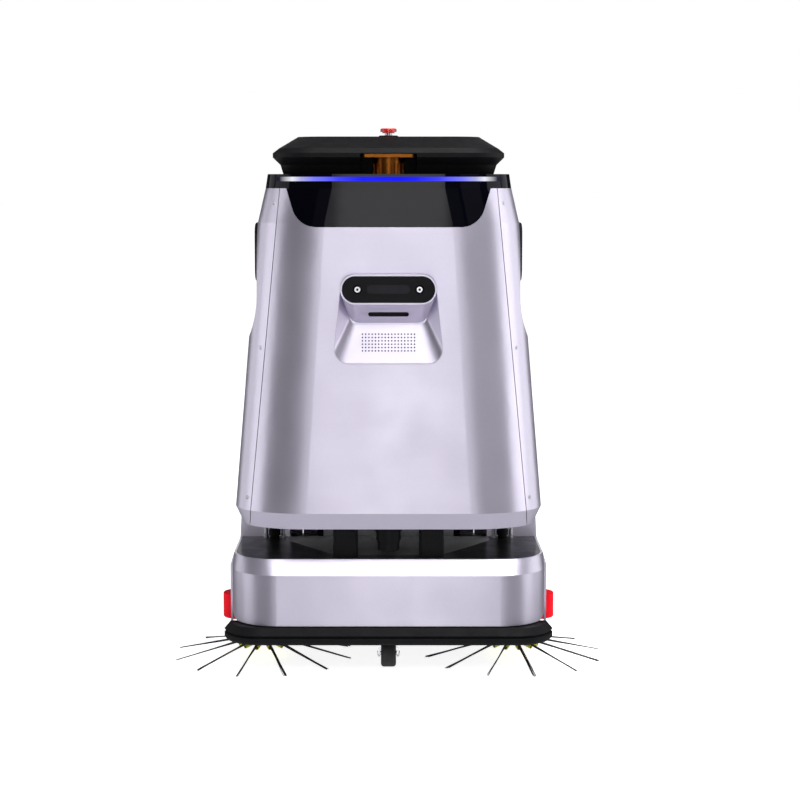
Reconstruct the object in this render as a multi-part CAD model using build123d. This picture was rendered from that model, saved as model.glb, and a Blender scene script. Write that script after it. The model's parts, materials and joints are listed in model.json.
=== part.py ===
"""Commercial robotic floor cleaner: sweeping and scrubbing robot on three wheels.

Frame: +Z up, the front faces -Y, +X is to the right of someone who looks at the front.
The origin is on the floor, under the middle of the machine. Millimetres throughout.
"""
import os
from math import cos, radians, sin, sqrt, tan

from build123d import *

os.makedirs("parts", exist_ok=True)

# ---------------------------------------------------------------- driving sizes
# upper body
BODY_HALF = 290.5          # half width at the crease above the bottom chamfer
BODY_FRONT = -329.0        # front face at the crease
BODY_REAR = 345.0          # rear face at the crease
DECK_Z = 210.0             # top of the base's deck, the floor of the scanner gap
BODY_UNDER_Z = DECK_Z + 59.0           # bottom edge of the chamfer, the ceiling of the gap
BODY_CREASE_Z = BODY_UNDER_Z + 32.0    # crease between the bottom chamfer and the tapering sides
BODY_TOP_Z = 900.0         # top edge of the painted covers
UNDER_INSET = 15.0         # the chamfer runs in this far
BODY_CORNER = 98.0         # plan corner at the crease, how far it runs back along the flank
CORNER_SPREAD = 40.0       # the front corners run this much further along the front
CORNER_SHRINK = 12.0       # the corner lost by the top
FRONT_LEAN = 12.0          # the front face leans back this far by the top
SHOULDER_Z = BODY_TOP_Z - 63.0         # the flanks taper straight to here, then turn in further
SHOULDER_HALF = BODY_HALF - 46.5
TOP_HALF = BODY_HALF - 61.5
RECESS_HALF = SHOULDER_HALF + 1.5      # the flanks are hollowed to this half width at the side pods
RECESS_LOW_Z = BODY_TOP_Z - 195.0      # the hollow is upright from here to the shoulder
RECESS_FOOT_Z = BODY_TOP_Z - 278.0     # and runs out here
WALL = 4.0                 # moulded covers
SEAM = 1.2                 # visible gap between neighbouring covers
SEAM_FOOT_IN = 33.0        # seam of the front cover, in from the side, at the crease
SEAM_HEAD_IN = 30.0        # the same at the top edge

# base
DECK_T = 5.0
BASE_HALF = BODY_HALF + 6.5
BASE_BOTTOM_Z = 88.0
BEVEL_Z = DECK_Z - 26.0    # lower edge of the bevel along the front of the base
BEVEL_DEPTH = 26.0
BASE_CORNER = 88.0
NOTCH_Y = BODY_FRONT + 246.0           # rear wall of the scanner gap
SKIRT_HALF = BASE_HALF + 6.0           # side skirts stand a little proud of the base shell
SKIRT_FRONT = BODY_FRONT + 104.0
SKIRT_BOTTOM_Z = 70.0
CHASSIS_Z = 126.0          # underside of the chassis plate
CHASSIS_T = 6.0

# front bumper
BUMPER_FRONT = BODY_FRONT - 16.0
BUMPER_HALF = BASE_HALF + 14.0
BUMPER_Z0 = 55.0
BUMPER_Z1 = 86.0
BUMPER_ARM_END = BODY_FRONT + 49.0
BUMPER_CORNER = 72.0
BUMPER_TRAVEL = 8.0

# side brushes
BRUSH_X = BASE_HALF - 55.5
BRUSH_Y = BODY_FRONT + 131.0
BRUSH_R = 175.0            # reach of the tuft tips
TUFTS = 12
TUFT_ROOT_Z = 34.0
HUB_R = 24.0

# caster
CASTER_SWIVEL_Y = BODY_FRONT + 63.0
CASTER_TRAIL = 20.0
CASTER_R = 26.0
CASTER_W = 28.5

# drive wheels
WHEEL_R = 100.0
WHEEL_W = 46.0
WHEEL_X = BASE_HALF - 62.0
WHEEL_Y = 150.0

# scrubbing roller
ROLLER_R = 49.0
ROLLER_HALF = WHEEL_X - 49.0
ROLLER_Y = 60.0

# guide rollers on the flanks
GUIDE_R = 22.0
GUIDE_X = BASE_HALF + 1.0
GUIDE_Y = BRUSH_Y + 5.0
GUIDE_Z0 = 74.0
GUIDE_Z1 = 124.0

# squeegee
SQUEEGEE_R = 565.0
SQUEEGEE_REAR = BODY_REAR + 28.0
SQUEEGEE_HALF_ANGLE = 29.5
SQUEEGEE_PIVOT_Y = 236.0
SQUEEGEE_PIVOT_Z = 108.0

# head
RIM_H = 26.0               # gloss black rim between the covers and the neck
HOOD_HALF = TOP_HALF - 11.0
HOOD_FRONT = BODY_FRONT + 66.0
HOOD_REAR = BODY_REAR - 45.0
LIP_Z = BODY_TOP_Z + 57.0
HOOD_TOP_Z = LIP_Z + 40.0
HOOD_TOP_HALF = HOOD_HALF - 44.0
NECK_HALF = HOOD_HALF - 19.0
LIDAR_R = 27.5
LIDAR_Y = HOOD_FRONT + 37.0
E_STOP_R = 15.5
E_STOP_Y = HOOD_FRONT + 133.0
E_STOP_TRAVEL = 4.0
E_STOP_SEAT = 1.0          # the button's collar is let this far into the hood

# sensor nose on the front cover
NOSE_Z = BODY_TOP_Z - 182.0
PILL_W = 169.0
PILL_H = 48.0
NOSE_LIP = 3.0             # painted lip around the black face
NOSE_FRONT = BODY_FRONT - 24.0
SCOOP_Z0 = NOSE_Z - 138.0
SCOOP_HALF = 103.0
SCOOP_DEEP_Y = BODY_FRONT + 31.0

# clearances
RUNNING = 0.05             # radial, shaft in bore
GAP = 0.5                  # between parts that move past each other
FIT = 0.4                  # around inserts in the covers


# ---------------------------------------------------------------- helpers
def slab(x0, x1, y0, y1, z0, z1):
    """Box by its limits."""
    return Pos((x0 + x1) / 2, (y0 + y1) / 2, (z0 + z1) / 2) * Box(x1 - x0, y1 - y0, z1 - z0)


def rod_x(radius, x0, x1, y, z):
    return Pos((x0 + x1) / 2, y, z) * Rot(0, 90, 0) * Cylinder(radius, abs(x1 - x0))


def rod_y(radius, y0, y1, x, z):
    return Pos(x, (y0 + y1) / 2, z) * Rot(90, 0, 0) * Cylinder(radius, abs(y1 - y0))


def rod_z(radius, z0, z1, x=0.0, y=0.0):
    return Pos(x, y, (z0 + z1) / 2) * Cylinder(radius, abs(z1 - z0))


def ring_z(outer, inner, z0, z1, x=0.0, y=0.0):
    return rod_z(outer, z0, z1, x, y) - rod_z(inner, z0 - 1, z1 + 1, x, y)


def across_x(profile, x0, x1):
    """Extrude a sketch drawn as (y, z) from x0 to x1."""
    plane = Plane(origin=(x0, 0, 0), x_dir=(0, 1, 0), z_dir=(1, 0, 0))
    return extrude(plane * profile, x1 - x0)


def along_y(outline, y0, y1):
    """Extrude a sketch drawn as (x, z) from y0 to y1."""
    plane = Plane(origin=(0, y1, 0), x_dir=(1, 0, 0), z_dir=(0, -1, 0))
    return extrude(plane * outline, y1 - y0)


def up_z(plan, z0, z1):
    return extrude(Pos(0, 0, z0) * plan, z1 - z0)


def plan_rect(half, front, rear, corner):
    """Rounded rectangle in plan, symmetric about x = 0."""
    return Pos(0, (front + rear) / 2) * RectangleRounded(2 * half, rear - front, corner)


def plan_soft(half, front, rear, corner):
    """The covers' plan: round rear corners, and front corners that run further along the front."""
    run = corner + CORNER_SPREAD
    edges = []
    for side in (-1, 1):
        edges.append(EllipticalCenterArc((side * (half - run), front + corner), run, corner,
                                         start_angle=270 if side > 0 else 180, arc_size=90))
        edges.append(Line((side * half, front + corner), (side * half, rear - corner)))
        edges.append(CenterArc((side * (half - corner), rear - corner), corner,
                               0 if side > 0 else 90, 90))
    edges.append(Line((run - half, front), (half - run, front)))
    edges.append(Line((corner - half, rear), (half - corner, rear)))
    return make_face(edges)


def shape(*points):
    """Face with straight sides through the points."""
    return make_face(Polyline(*points, close=True))


def mirrored(part):
    return mirror(part, Plane.YZ)


def save(part, node, label=None):
    """Write one node: each separate solid as it lies."""
    part.label = label or node
    export_step(part, f"parts/{node}.step")


def save_group(solids, node):
    save(Compound(children=[s.solid() if not isinstance(s, Solid) else s for s in solids]), node)


# ---------------------------------------------------------------- upper body envelope
BODY_H = BODY_TOP_Z - BODY_CREASE_Z


def body_at(z):
    """Half width, front, rear and corner of the covers at a height."""
    if z <= SHOULDER_Z:
        half = BODY_HALF + (SHOULDER_HALF - BODY_HALF) * (z - BODY_CREASE_Z) / (SHOULDER_Z
                                                                                - BODY_CREASE_Z)
    else:
        half = SHOULDER_HALF + (TOP_HALF - SHOULDER_HALF) * (z - SHOULDER_Z) / (BODY_TOP_Z - SHOULDER_Z)
    t = (z - BODY_CREASE_Z) / BODY_H
    return half, BODY_FRONT + FRONT_LEAN * t, BODY_REAR, BODY_CORNER - CORNER_SHRINK * t


def body_plan(z, inset=0.0, at_z=None):
    half, front, rear, corner = body_at(z)
    plan = plan_soft(half - inset, front + inset, rear - inset, corner - inset)
    return Pos(0, 0, z if at_z is None else at_z) * plan


def flank_hollow(inset):
    """What is scooped out of both flanks around the side pods."""
    x = RECESS_HALF - inset
    foot = body_at(RECESS_FOOT_Z)[0] - inset
    out = BODY_HALF + 30
    bow = (foot - x) * 0.22
    edge = ThreePointArc((foot, RECESS_FOOT_Z), (x + bow, (RECESS_FOOT_Z + RECESS_LOW_Z) / 2),
                         (x, RECESS_LOW_Z))
    rest = Polyline((x, RECESS_LOW_Z), (x, SHOULDER_Z), (out, SHOULDER_Z), (out, RECESS_FOOT_Z),
                    (foot, RECESS_FOOT_Z))
    hollow = along_y(make_face(edge + rest), BODY_FRONT - 5, BODY_REAR + 5)
    return hollow + mirrored(hollow)


def body_solid(inset=0.0):
    """The covers' envelope, or the same set in by a wall."""
    chamfer = loft([body_plan(BODY_CREASE_Z, inset + UNDER_INSET, BODY_UNDER_Z),
                    body_plan(BODY_CREASE_Z, inset)], ruled=True)
    flanks = loft([body_plan(BODY_CREASE_Z, inset), body_plan(SHOULDER_Z, inset)], ruled=True)
    shoulder = loft([body_plan(SHOULDER_Z, inset), body_plan(BODY_TOP_Z, inset)], ruled=True)
    return chamfer + flanks + shoulder - flank_hollow(inset)


body_outer = body_solid()
body_inner = body_solid(WALL)
body_shell = body_outer - body_inner


def seam_x(z):
    """Seam between the front cover and a side cover, in front view."""
    t = (z - BODY_CREASE_Z) / BODY_H
    half = BODY_HALF + (TOP_HALF - BODY_HALF) * t
    return half - (SEAM_FOOT_IN + (SEAM_HEAD_IN - SEAM_FOOT_IN) * t)


def front_zone(shrink):
    low, high = BODY_UNDER_Z - 1, BODY_TOP_Z + 1
    a, b = seam_x(low) - shrink, seam_x(high) - shrink
    return along_y(shape((-a, low), (a, low), (b, high), (-b, high)), BODY_FRONT - 50, BODY_FRONT + 180)


# ---------------------------------------------------------------- front window and nose outlines
WINDOW_H = 70.0
WINDOW_TOP_HALF = TOP_HALF - 42.0
WINDOW_FOOT_HALF = WINDOW_TOP_HALF - 22.0
WINDOW_CORNER = 45.0
WINDOW_RECESS = 0.8


def window_outline(grow=0.0):
    top, foot = BODY_TOP_Z, BODY_TOP_Z - WINDOW_H - grow
    outline = shape((-WINDOW_FOOT_HALF - grow, foot), (WINDOW_FOOT_HALF + grow, foot),
                    (WINDOW_TOP_HALF + grow, top), (-WINDOW_TOP_HALF - grow, top))
    corners = outline.vertices().sort_by(Axis.Y)[:2]
    return fillet(corners, WINDOW_CORNER + grow)


NOSE_TOP = NOSE_Z + PILL_H / 2 + NOSE_LIP
NOSE_HALF = PILL_W / 2 + NOSE_LIP
SCOOP_KNEE_Z = NOSE_Z - 4
SCOOP_CORNER = 27.0
NOSE_CORNER = 28.0
FACE_Y = body_at(NOSE_Z - 70)[1]       # cover face beside the nose


def nose_outline(grow=0.0):
    """Opening of the front cover for the sensor housing: nose above, scoop below."""
    knee = NOSE_HALF + grow + 0.6
    foot = SCOOP_HALF + grow
    outline = shape((-foot, SCOOP_Z0 - grow), (foot, SCOOP_Z0 - grow), (knee, SCOOP_KNEE_Z),
                    (knee, NOSE_TOP + grow), (-knee, NOSE_TOP + grow), (-knee, SCOOP_KNEE_Z))
    corners = outline.vertices().sort_by(Axis.Y)
    outline = fillet(corners[:2], SCOOP_CORNER + grow)
    return fillet(outline.vertices().sort_by(Axis.Y)[-2:], NOSE_CORNER)


# ---------------------------------------------------------------- front cover and its inserts
def make_front_cover():
    cover = body_shell & front_zone(0)
    cover -= along_y(window_outline(FIT), BODY_FRONT - 20, BODY_FRONT + 100)
    cover -= along_y(nose_outline(FIT), BODY_FRONT - 20, BODY_FRONT + 60)
    return cover


def make_front_window():
    skin = body_solid(WINDOW_RECESS) - body_solid(WALL)
    return skin & along_y(window_outline(), BODY_FRONT - 20, BODY_FRONT + 100)


SLOT_W, SLOT_H, SLOT_Z = 75.0, 9.0, SCOOP_Z0 + 91.0
SPEAKER_COLS, SPEAKER_ROWS, SPEAKER_PITCH, SPEAKER_HOLE_R = 17, 6, 6.0, 1.45
SPEAKER_Z = SCOOP_Z0 + 38.0
SCOOP_DEEP_Z = SCOOP_Z0 + 70.0
SCOOP_DEEP_HALF = 72.0
FLOOR_TILT = (SCOOP_DEEP_Z - SCOOP_Z0) / (SCOOP_DEEP_Y - FACE_Y)   # rise over depth of the scoop floor


def y_plane(y):
    return Plane(origin=(0, y, 0), x_dir=(1, 0, 0), z_dir=(0, -1, 0))


def scoop_section(y, foot_half, head_half, foot_z, corner):
    head_z = NOSE_TOP - 12
    face = shape((-foot_half, foot_z), (foot_half, foot_z), (head_half, head_z), (-head_half, head_z))
    return y_plane(y) * fillet(face.vertices().sort_by(Axis.Y)[:2], corner)


def make_sensor_housing():
    """Painted moulding: camera nose, its underside with a slot, and the scoop with the speaker grille."""
    back_y = SCOOP_DEEP_Y + 5
    block = along_y(nose_outline(), FACE_Y, back_y)
    head_half = NOSE_HALF - 1.5
    scoop = loft([scoop_section(FACE_Y - 0.05, SCOOP_HALF - 0.8, head_half, SCOOP_Z0 + 0.8,
                                SCOOP_CORNER - 0.8),
                  scoop_section(SCOOP_DEEP_Y, SCOOP_DEEP_HALF, SCOOP_DEEP_HALF - 6, SCOOP_DEEP_Z,
                                14.0)])
    block -= scoop
    nose_mid = NOSE_Z
    front = y_plane(NOSE_FRONT + 2) * (Pos(0, nose_mid) * RectangleRounded(
        2 * NOSE_HALF, PILL_H + 2 * NOSE_LIP, PILL_H / 2 + NOSE_LIP - 0.3))
    chin_h = NOSE_TOP - SCOOP_DEEP_Z
    rear = y_plane(back_y) * (Pos(0, SCOOP_DEEP_Z + chin_h / 2) * RectangleRounded(
        2 * SCOOP_DEEP_HALF + 6, chin_h, 24.0))
    nose = loft([front, rear], ruled=True)
    housing = block + nose
    pocket = Pos(0, NOSE_Z) * RectangleRounded(PILL_W + 2 * FIT, PILL_H + 2 * FIT, PILL_H / 2 + FIT
                                               - 0.3)
    housing -= along_y(pocket, NOSE_FRONT - 5, NOSE_FRONT + 9)
    slot = Pos(0, SLOT_Z) * RectangleRounded(SLOT_W, SLOT_H, SLOT_H / 2 - 0.1)
    housing -= along_y(slot, NOSE_FRONT - 5, NOSE_FRONT + 44)
    # speaker holes, square to the scoop floor
    drills = []
    for row in range(SPEAKER_ROWS):
        for col in range(SPEAKER_COLS):
            x = (col - (SPEAKER_COLS - 1) / 2) * SPEAKER_PITCH
            z = SPEAKER_Z + (row - (SPEAKER_ROWS - 1) / 2) * SPEAKER_PITCH
            y = FACE_Y + (z - SCOOP_Z0) / FLOOR_TILT
            drills.append(rod_y(SPEAKER_HOLE_R, y - 4, y + 60, x, z))
    housing -= drills
    # hollow behind the scoop floor, where the speaker sits
    hollow_z0, hollow_z1 = SPEAKER_Z - 24, SPEAKER_Z + 20
    profile = shape((back_y + 1, hollow_z0), (FACE_Y + 4 + (hollow_z0 - SCOOP_Z0) / FLOOR_TILT,
                                              hollow_z0),
                    (FACE_Y + 4 + (hollow_z1 - SCOOP_Z0) / FLOOR_TILT, hollow_z1), (back_y + 1,
                                                                                    hollow_z1))
    housing -= across_x(profile, -58, 58)
    return housing


LENS_X = 56.5
LENS_R = 8.5
BEZEL_BACK = NOSE_FRONT + 8.5
WINDOW_W, WINDOW_TALL = 80.0, 18.0


def make_camera_bezel():
    """Black face of the nose with two lens wells and the long window well."""
    face = Pos(0, NOSE_Z) * RectangleRounded(PILL_W, PILL_H, PILL_H / 2 - 0.3)
    bezel = along_y(face, NOSE_FRONT, BEZEL_BACK)
    bezel = chamfer(bezel.faces().sort_by(Axis.Y)[0].edges(), 0.8)
    for side in (-1, 1):
        bezel -= rod_y(LENS_R, NOSE_FRONT - 1, NOSE_FRONT + 5, side * LENS_X, NOSE_Z)
    well = Pos(0, NOSE_Z) * RectangleRounded(WINDOW_W, WINDOW_TALL, WINDOW_TALL / 2 - 0.3)
    bezel -= along_y(well, NOSE_FRONT - 1, NOSE_FRONT + 5)
    return bezel


def make_camera_window():
    """Dark pane at the bottom of the long well, with its stepped lip."""
    pane = Pos(0, NOSE_Z) * RectangleRounded(WINDOW_W - 2 * FIT, WINDOW_TALL - 2 * FIT,
                                             WINDOW_TALL / 2 - FIT - 0.3)
    return along_y(pane, NOSE_FRONT + 3.4, NOSE_FRONT + 5)


POD_Y, POD_Z = BODY_FRONT + 136.0, BODY_TOP_Z - 120.0
POD_TALL, POD_LONG, POD_PROUD = 112.0, 52.0, 6.5
POD_X = RECESS_HALF + POD_PROUD
POD_LENS_DZ = 38.0


def make_side_pod():
    """Right-hand camera pod: a pill on the side cover with a slot and two lens wells."""
    face = Pos(POD_Y, POD_Z) * RectangleRounded(POD_LONG, POD_TALL, POD_LONG / 2 - 0.3)
    pod = across_x(face, POD_X - POD_PROUD - WALL - 8, POD_X)
    pod = fillet(pod.faces().sort_by(Axis.X)[-1].edges(), 5.0)
    slot = Pos(POD_Y, POD_Z) * RectangleRounded(14, 48, 6.7)
    pod -= across_x(slot, POD_X - 3, POD_X + 1)
    for dz in (-POD_LENS_DZ, POD_LENS_DZ):
        pod -= rod_x(6.5, POD_X - 4, POD_X + 1, POD_Y, POD_Z + dz)
    return pod


def make_lenses():
    """Camera lenses: two in the nose, two in each side pod, each a domed disc."""
    lenses = []
    for side in (-1, 1):
        lens = rod_y(LENS_R - FIT, NOSE_FRONT + 2.0, NOSE_FRONT + 5, side * LENS_X, NOSE_Z)
        lenses.append(chamfer(lens.faces().sort_by(Axis.Y)[0].edges(), 1.4))
        for dz in (-POD_LENS_DZ, POD_LENS_DZ):
            disc = rod_x(6.5 - FIT, POD_X - 4, POD_X - 1.5, POD_Y, POD_Z + dz)
            disc = chamfer(disc.faces().sort_by(Axis.X)[-1].edges(), 1.0)
            lenses.append(disc if side > 0 else mirrored(disc))
    return lenses


# ---------------------------------------------------------------- side covers and rear door
DOOR_HALF = TOP_HALF - 61.0
DOOR_Z0 = BODY_CREASE_Z + 19.0
DOOR_Z1 = BODY_TOP_Z - 70.0
HINGE_X = -DOOR_HALF - 3.0
HINGE_Y = BODY_REAR + 8.0
HINGE_R = 6.0
SCREW_SHARES = (0.04, 0.51, 0.955)    # heights of the cover screws, as shares of the body height
SCREW_R = 3.6
SCREW_OUT = 8.5            # the screws stand this far outside the seam


def door_zone(grow):
    door = Pos(0, (DOOR_Z0 + DOOR_Z1) / 2) * RectangleRounded(
        2 * (DOOR_HALF + grow), DOOR_Z1 - DOOR_Z0 + 2 * grow, 14 + grow)
    return along_y(door, BODY_REAR - 70, BODY_REAR + 30)


def screw_spots():
    """Axis points of the right-hand cover screws, on the corner just outside the seam."""
    spots = []
    for share in SCREW_SHARES:
        z = BODY_CREASE_Z + share * BODY_H
        half, front, _, corner = body_at(z)
        run = corner + CORNER_SPREAD
        x = seam_x(z) + SCREW_OUT
        across = (x - half + run) / run
        back = sqrt(1 - across ** 2)
        nx, ny = across / run, -back / corner
        size = sqrt(nx ** 2 + ny ** 2)
        spots.append(((x, front + corner * (1 - back), z), (nx / size, ny / size, 0)))
    return spots


def on_axis(radius, at, out, depth, proud):
    """Cylinder about the outward direction, from depth inside to proud outside."""
    length = depth + proud
    middle = [at[i] + out[i] * (proud - depth) / 2 for i in range(3)]
    plane = Plane(origin=middle, z_dir=out)
    return plane * Cylinder(radius, length)


def make_side_cover():
    """Right-hand cover, from the seam at the front corner to the middle of the rear."""
    cover = body_shell - front_zone(-SEAM)
    cover -= door_zone(SEAM)
    cover &= slab(SEAM / 4, BODY_HALF + 20, BODY_FRONT - 20, BODY_REAR + 20, BODY_UNDER_Z - 5,
                  BODY_TOP_Z + 5)
    cover -= slab(-5, BODY_HALF + 20, NOTCH_Y - SEAM / 2, BODY_REAR + 20, BODY_UNDER_Z - 5,
                  BODY_CREASE_Z + SEAM / 2)
    pod_hole = Pos(POD_Y, POD_Z) * RectangleRounded(
        POD_LONG + 2 * FIT, POD_TALL + 2 * FIT, POD_LONG / 2 + FIT - 0.3)
    cover -= across_x(pod_hole, BODY_HALF - 90, BODY_HALF + 20)
    for at, out in screw_spots():
        cover -= on_axis(SCREW_R + 0.3, at, out, 2.4, 3)
    return cover


def make_cover_screws():
    screws = []
    for at, out in screw_spots():
        head = on_axis(SCREW_R, at, out, 2.4, -0.9)
        socket = on_axis(SCREW_R * 0.45, at, out, 1.7, 1)
        screw = head - socket
        screws += [screw, mirrored(screw)]
    return screws


def door_knuckles(own):
    """Hinge knuckles at the door's left edge: the door has the outer pair, the body the middle one."""
    z0, z1 = DOOR_Z0 + 60, DOOR_Z0 + 120
    z2, z3 = DOOR_Z1 - 120, DOOR_Z1 - 60
    third = (z1 - z0) / 3
    spans = []
    for a, b in ((z0, z1), (z2, z3)):
        if own:
            spans += [(a, a + third - GAP), (b - third + GAP, b)]
        else:
            spans.append((a + third, b - third))
    return spans


HINGE_PIN_R = 2.5


def make_rear_door():
    door = body_shell & door_zone(0)
    for a, b in door_knuckles(own=True):
        leaf = slab(HINGE_X, -DOOR_HALF + 22, HINGE_Y - 6, HINGE_Y - 3, a, b)
        foot = slab(-DOOR_HALF + 4, -DOOR_HALF + 22, BODY_REAR - WALL - 4, HINGE_Y - 3, a, b)
        door += rod_z(HINGE_R, a, b, HINGE_X, HINGE_Y) + leaf + foot
        door -= rod_z(HINGE_PIN_R + RUNNING, a - 1, b + 1, HINGE_X, HINGE_Y)
    # finger recess at the free edge
    pull = Pos(DOOR_HALF - 40, (DOOR_Z0 + DOOR_Z1) / 2) * RectangleRounded(34, 110, 16)
    dish = along_y(pull, BODY_REAR - 40, BODY_REAR - 2)
    rim = along_y(Pos(DOOR_HALF - 40, (DOOR_Z0 + DOOR_Z1) / 2) * RectangleRounded(26, 102, 12.5),
                  BODY_REAR - 37, BODY_REAR + 5)
    dish &= body_inner
    return (door + dish) - rim


def make_hinge():
    """Two fixed knuckles with the pins, screwed to the left side cover."""
    hinge = []
    z0, z1 = DOOR_Z0 + 60, DOOR_Z0 + 120
    z2, z3 = DOOR_Z1 - 120, DOOR_Z1 - 60
    for (a, b), (low, high) in zip(door_knuckles(own=False), ((z0, z1), (z2, z3))):
        knuckle = rod_z(HINGE_R, a, b, HINGE_X, HINGE_Y)
        knuckle += slab(HINGE_X - 24, HINGE_X, HINGE_Y - 6, HINGE_Y - 3, a, b)
        knuckle += slab(HINGE_X - 24, HINGE_X - 6, BODY_REAR, HINGE_Y - 3, a, b)
        knuckle += rod_z(HINGE_PIN_R, low - 2, high + 2, HINGE_X, HINGE_Y)
        hinge.append(knuckle)
    return hinge


# ---------------------------------------------------------------- base
def make_base_shell():
    """Painted front shell of the base: upright wall, a bevel along the front, rounded corners."""
    rear = BODY_REAR
    low = up_z(plan_rect(BASE_HALF, BODY_FRONT, rear, BASE_CORNER), BASE_BOTTOM_Z, BEVEL_Z)
    bevel = loft([Pos(0, 0, BEVEL_Z) * plan_rect(BASE_HALF, BODY_FRONT, rear, BASE_CORNER),
                  Pos(0, 0, DECK_Z) * plan_rect(BASE_HALF - 2, BODY_FRONT + BEVEL_DEPTH, rear,
                                                BASE_CORNER - 8)],
                 ruled=True)
    outer = low + bevel
    hollow = up_z(plan_rect(BASE_HALF - WALL, BODY_FRONT + WALL, rear - 4, BASE_CORNER - WALL),
                  BASE_BOTTOM_Z - 1, BEVEL_Z)
    hollow += loft([Pos(0, 0, BEVEL_Z) * plan_rect(BASE_HALF - WALL, BODY_FRONT + WALL, rear - 4,
                                                   BASE_CORNER - WALL),
                    Pos(0, 0, DECK_Z + 1) * plan_rect(BASE_HALF - 2 - WALL, BODY_FRONT
                                                      + BEVEL_DEPTH + WALL,
                                                      rear - 4, BASE_CORNER - 8 - WALL)], ruled=True)
    shell = outer - hollow
    shell &= slab(-400, 400, BODY_FRONT - 20, SKIRT_FRONT - SEAM, BASE_BOTTOM_Z - 1, DECK_Z + 1)
    # the two lower front corners are rounded off in front view
    corner_r = 14.0
    for side in (-1, 1):
        x_edge = side * BASE_HALF
        cut = shape((x_edge - side * corner_r, BASE_BOTTOM_Z - 1),
                    (x_edge + side * 5, BASE_BOTTOM_Z - 1),
                    (x_edge + side * 5, BASE_BOTTOM_Z + corner_r), (x_edge - side * corner_r,
                                                                    BASE_BOTTOM_Z + corner_r))
        keep = rod_y(corner_r, -400, 0, x_edge - side * corner_r, BASE_BOTTOM_Z + corner_r)
        shell -= along_y(cut, -400, 0) - keep
    return shell


GUIDE_SLOT = GUIDE_R + 4
WAIST_TOP_Z = BODY_CREASE_Z - SEAM / 2


def skirt_solid(inset):
    """Both flanks and the rear of the base: upright skirt, a step in at the bevel, then the waist."""
    def section(z, half, corner):
        return Pos(0, 0, z) * plan_rect(half - inset, SKIRT_FRONT - 300, BODY_REAR - inset, corner
                                        - inset)

    skirt = loft([section(SKIRT_BOTTOM_Z, SKIRT_HALF, BASE_CORNER),
                  section(BEVEL_Z, SKIRT_HALF, BASE_CORNER)],
                 ruled=True)
    skirt += loft([section(BEVEL_Z, SKIRT_HALF, BASE_CORNER), section(DECK_Z, BASE_HALF - 2,
                                                                      BASE_CORNER + 4)],
                  ruled=True)
    return skirt + loft([section(DECK_Z, BASE_HALF - 2, BASE_CORNER + 4),
                         section(WAIST_TOP_Z, BODY_HALF, BODY_CORNER)], ruled=True)


def make_skirt():
    """Right-hand flank: skirt beside the base and, behind the scanner gap, the waist up to the side cover."""
    outer = skirt_solid(0)
    skirt = outer - skirt_solid(WALL)
    skirt &= slab(REAR_HALF + SEAM, 400, SKIRT_FRONT, BODY_REAR + 5, SKIRT_BOTTOM_Z - 1,
                  WAIST_TOP_Z + 1)
    # the scanner gap
    skirt -= slab(0, 400, SKIRT_FRONT - 5, NOTCH_Y, DECK_Z, WAIST_TOP_Z + 5)
    # end wall of the waist, facing the gap
    skirt += outer & slab(WAIST_INNER, 400, NOTCH_Y, NOTCH_Y + WALL, DECK_Z, BODY_UNDER_Z - 1)
    # slot for the guide roller
    skirt -= slab(SKIRT_HALF - 20, SKIRT_HALF + 10, GUIDE_Y - GUIDE_SLOT, GUIDE_Y + GUIDE_SLOT,
                  SKIRT_BOTTOM_Z - 1, GUIDE_Z1 + 6)
    return skirt


WAIST_INNER = BASE_HALF - 101.0        # the waist's end walls run from here outwards
REAR_HALF = WAIST_INNER - 6.0          # half width of the rear cover between the skirts
BIN_HALF = REAR_HALF - 40.0
BIN_Z0 = CHASSIS_Z + CHASSIS_T + 6.0
BIN_Z1 = BODY_UNDER_Z - 3


def make_rear_cover():
    """Flat lower rear panel with the opening for the waste bin."""
    panel = slab(-REAR_HALF, REAR_HALF, BODY_REAR - WALL, BODY_REAR, CHASSIS_Z - 10, WAIST_TOP_Z)
    return panel - slab(-BIN_HALF - 2 * GAP, BIN_HALF + 2 * GAP, BODY_REAR - 20, BODY_REAR + 5,
                        BIN_Z0 - 2 * GAP, BIN_Z1 + 2 * GAP)


PANEL_FRONT_X, PANEL_REAR_X = 109.0, BASE_HALF - 98.0
PANEL_FRONT_Y, PANEL_REAR_Y = BODY_FRONT + 78.0, BODY_FRONT + 206.0


def deck_plan():
    return plan_rect(BASE_HALF - 2 - WALL - FIT, BODY_FRONT + BEVEL_DEPTH + WALL + FIT,
                     NOTCH_Y + 260, BASE_CORNER - 8 - WALL)


def center_panel_plan(shrink):
    a, b = PANEL_FRONT_X - shrink, PANEL_REAR_X - shrink
    front = BODY_FRONT + BEVEL_DEPTH + 40
    return shape((-a + 12, front + shrink), (a - 12, front + shrink), (a, PANEL_FRONT_Y),
                 (b, PANEL_REAR_Y), (b, NOTCH_Y + 60), (-b, NOTCH_Y + 60), (-b, PANEL_REAR_Y),
                 (-a, PANEL_FRONT_Y))


def make_deck():
    """Black deck plate: the floor of the scanner gap."""
    deck = up_z(deck_plan(), DECK_Z - DECK_T, DECK_Z)
    deck &= slab(-400, 400, -400, NOTCH_Y - FIT, DECK_Z - DECK_T - 1, DECK_Z + 1)
    deck -= up_z(center_panel_plan(-0.8), DECK_Z - PANEL_T, DECK_Z + 1)
    for side in (-1, 1):
        deck -= rod_z(COLUMN_BOLT_R, DECK_Z - DECK_T - 1, DECK_Z + 1, side * COLUMN_X, COLUMN_Y)
        deck -= up_z(column_plan(side), DECK_Z - PANEL_T, DECK_Z + 1)
    return deck


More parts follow.
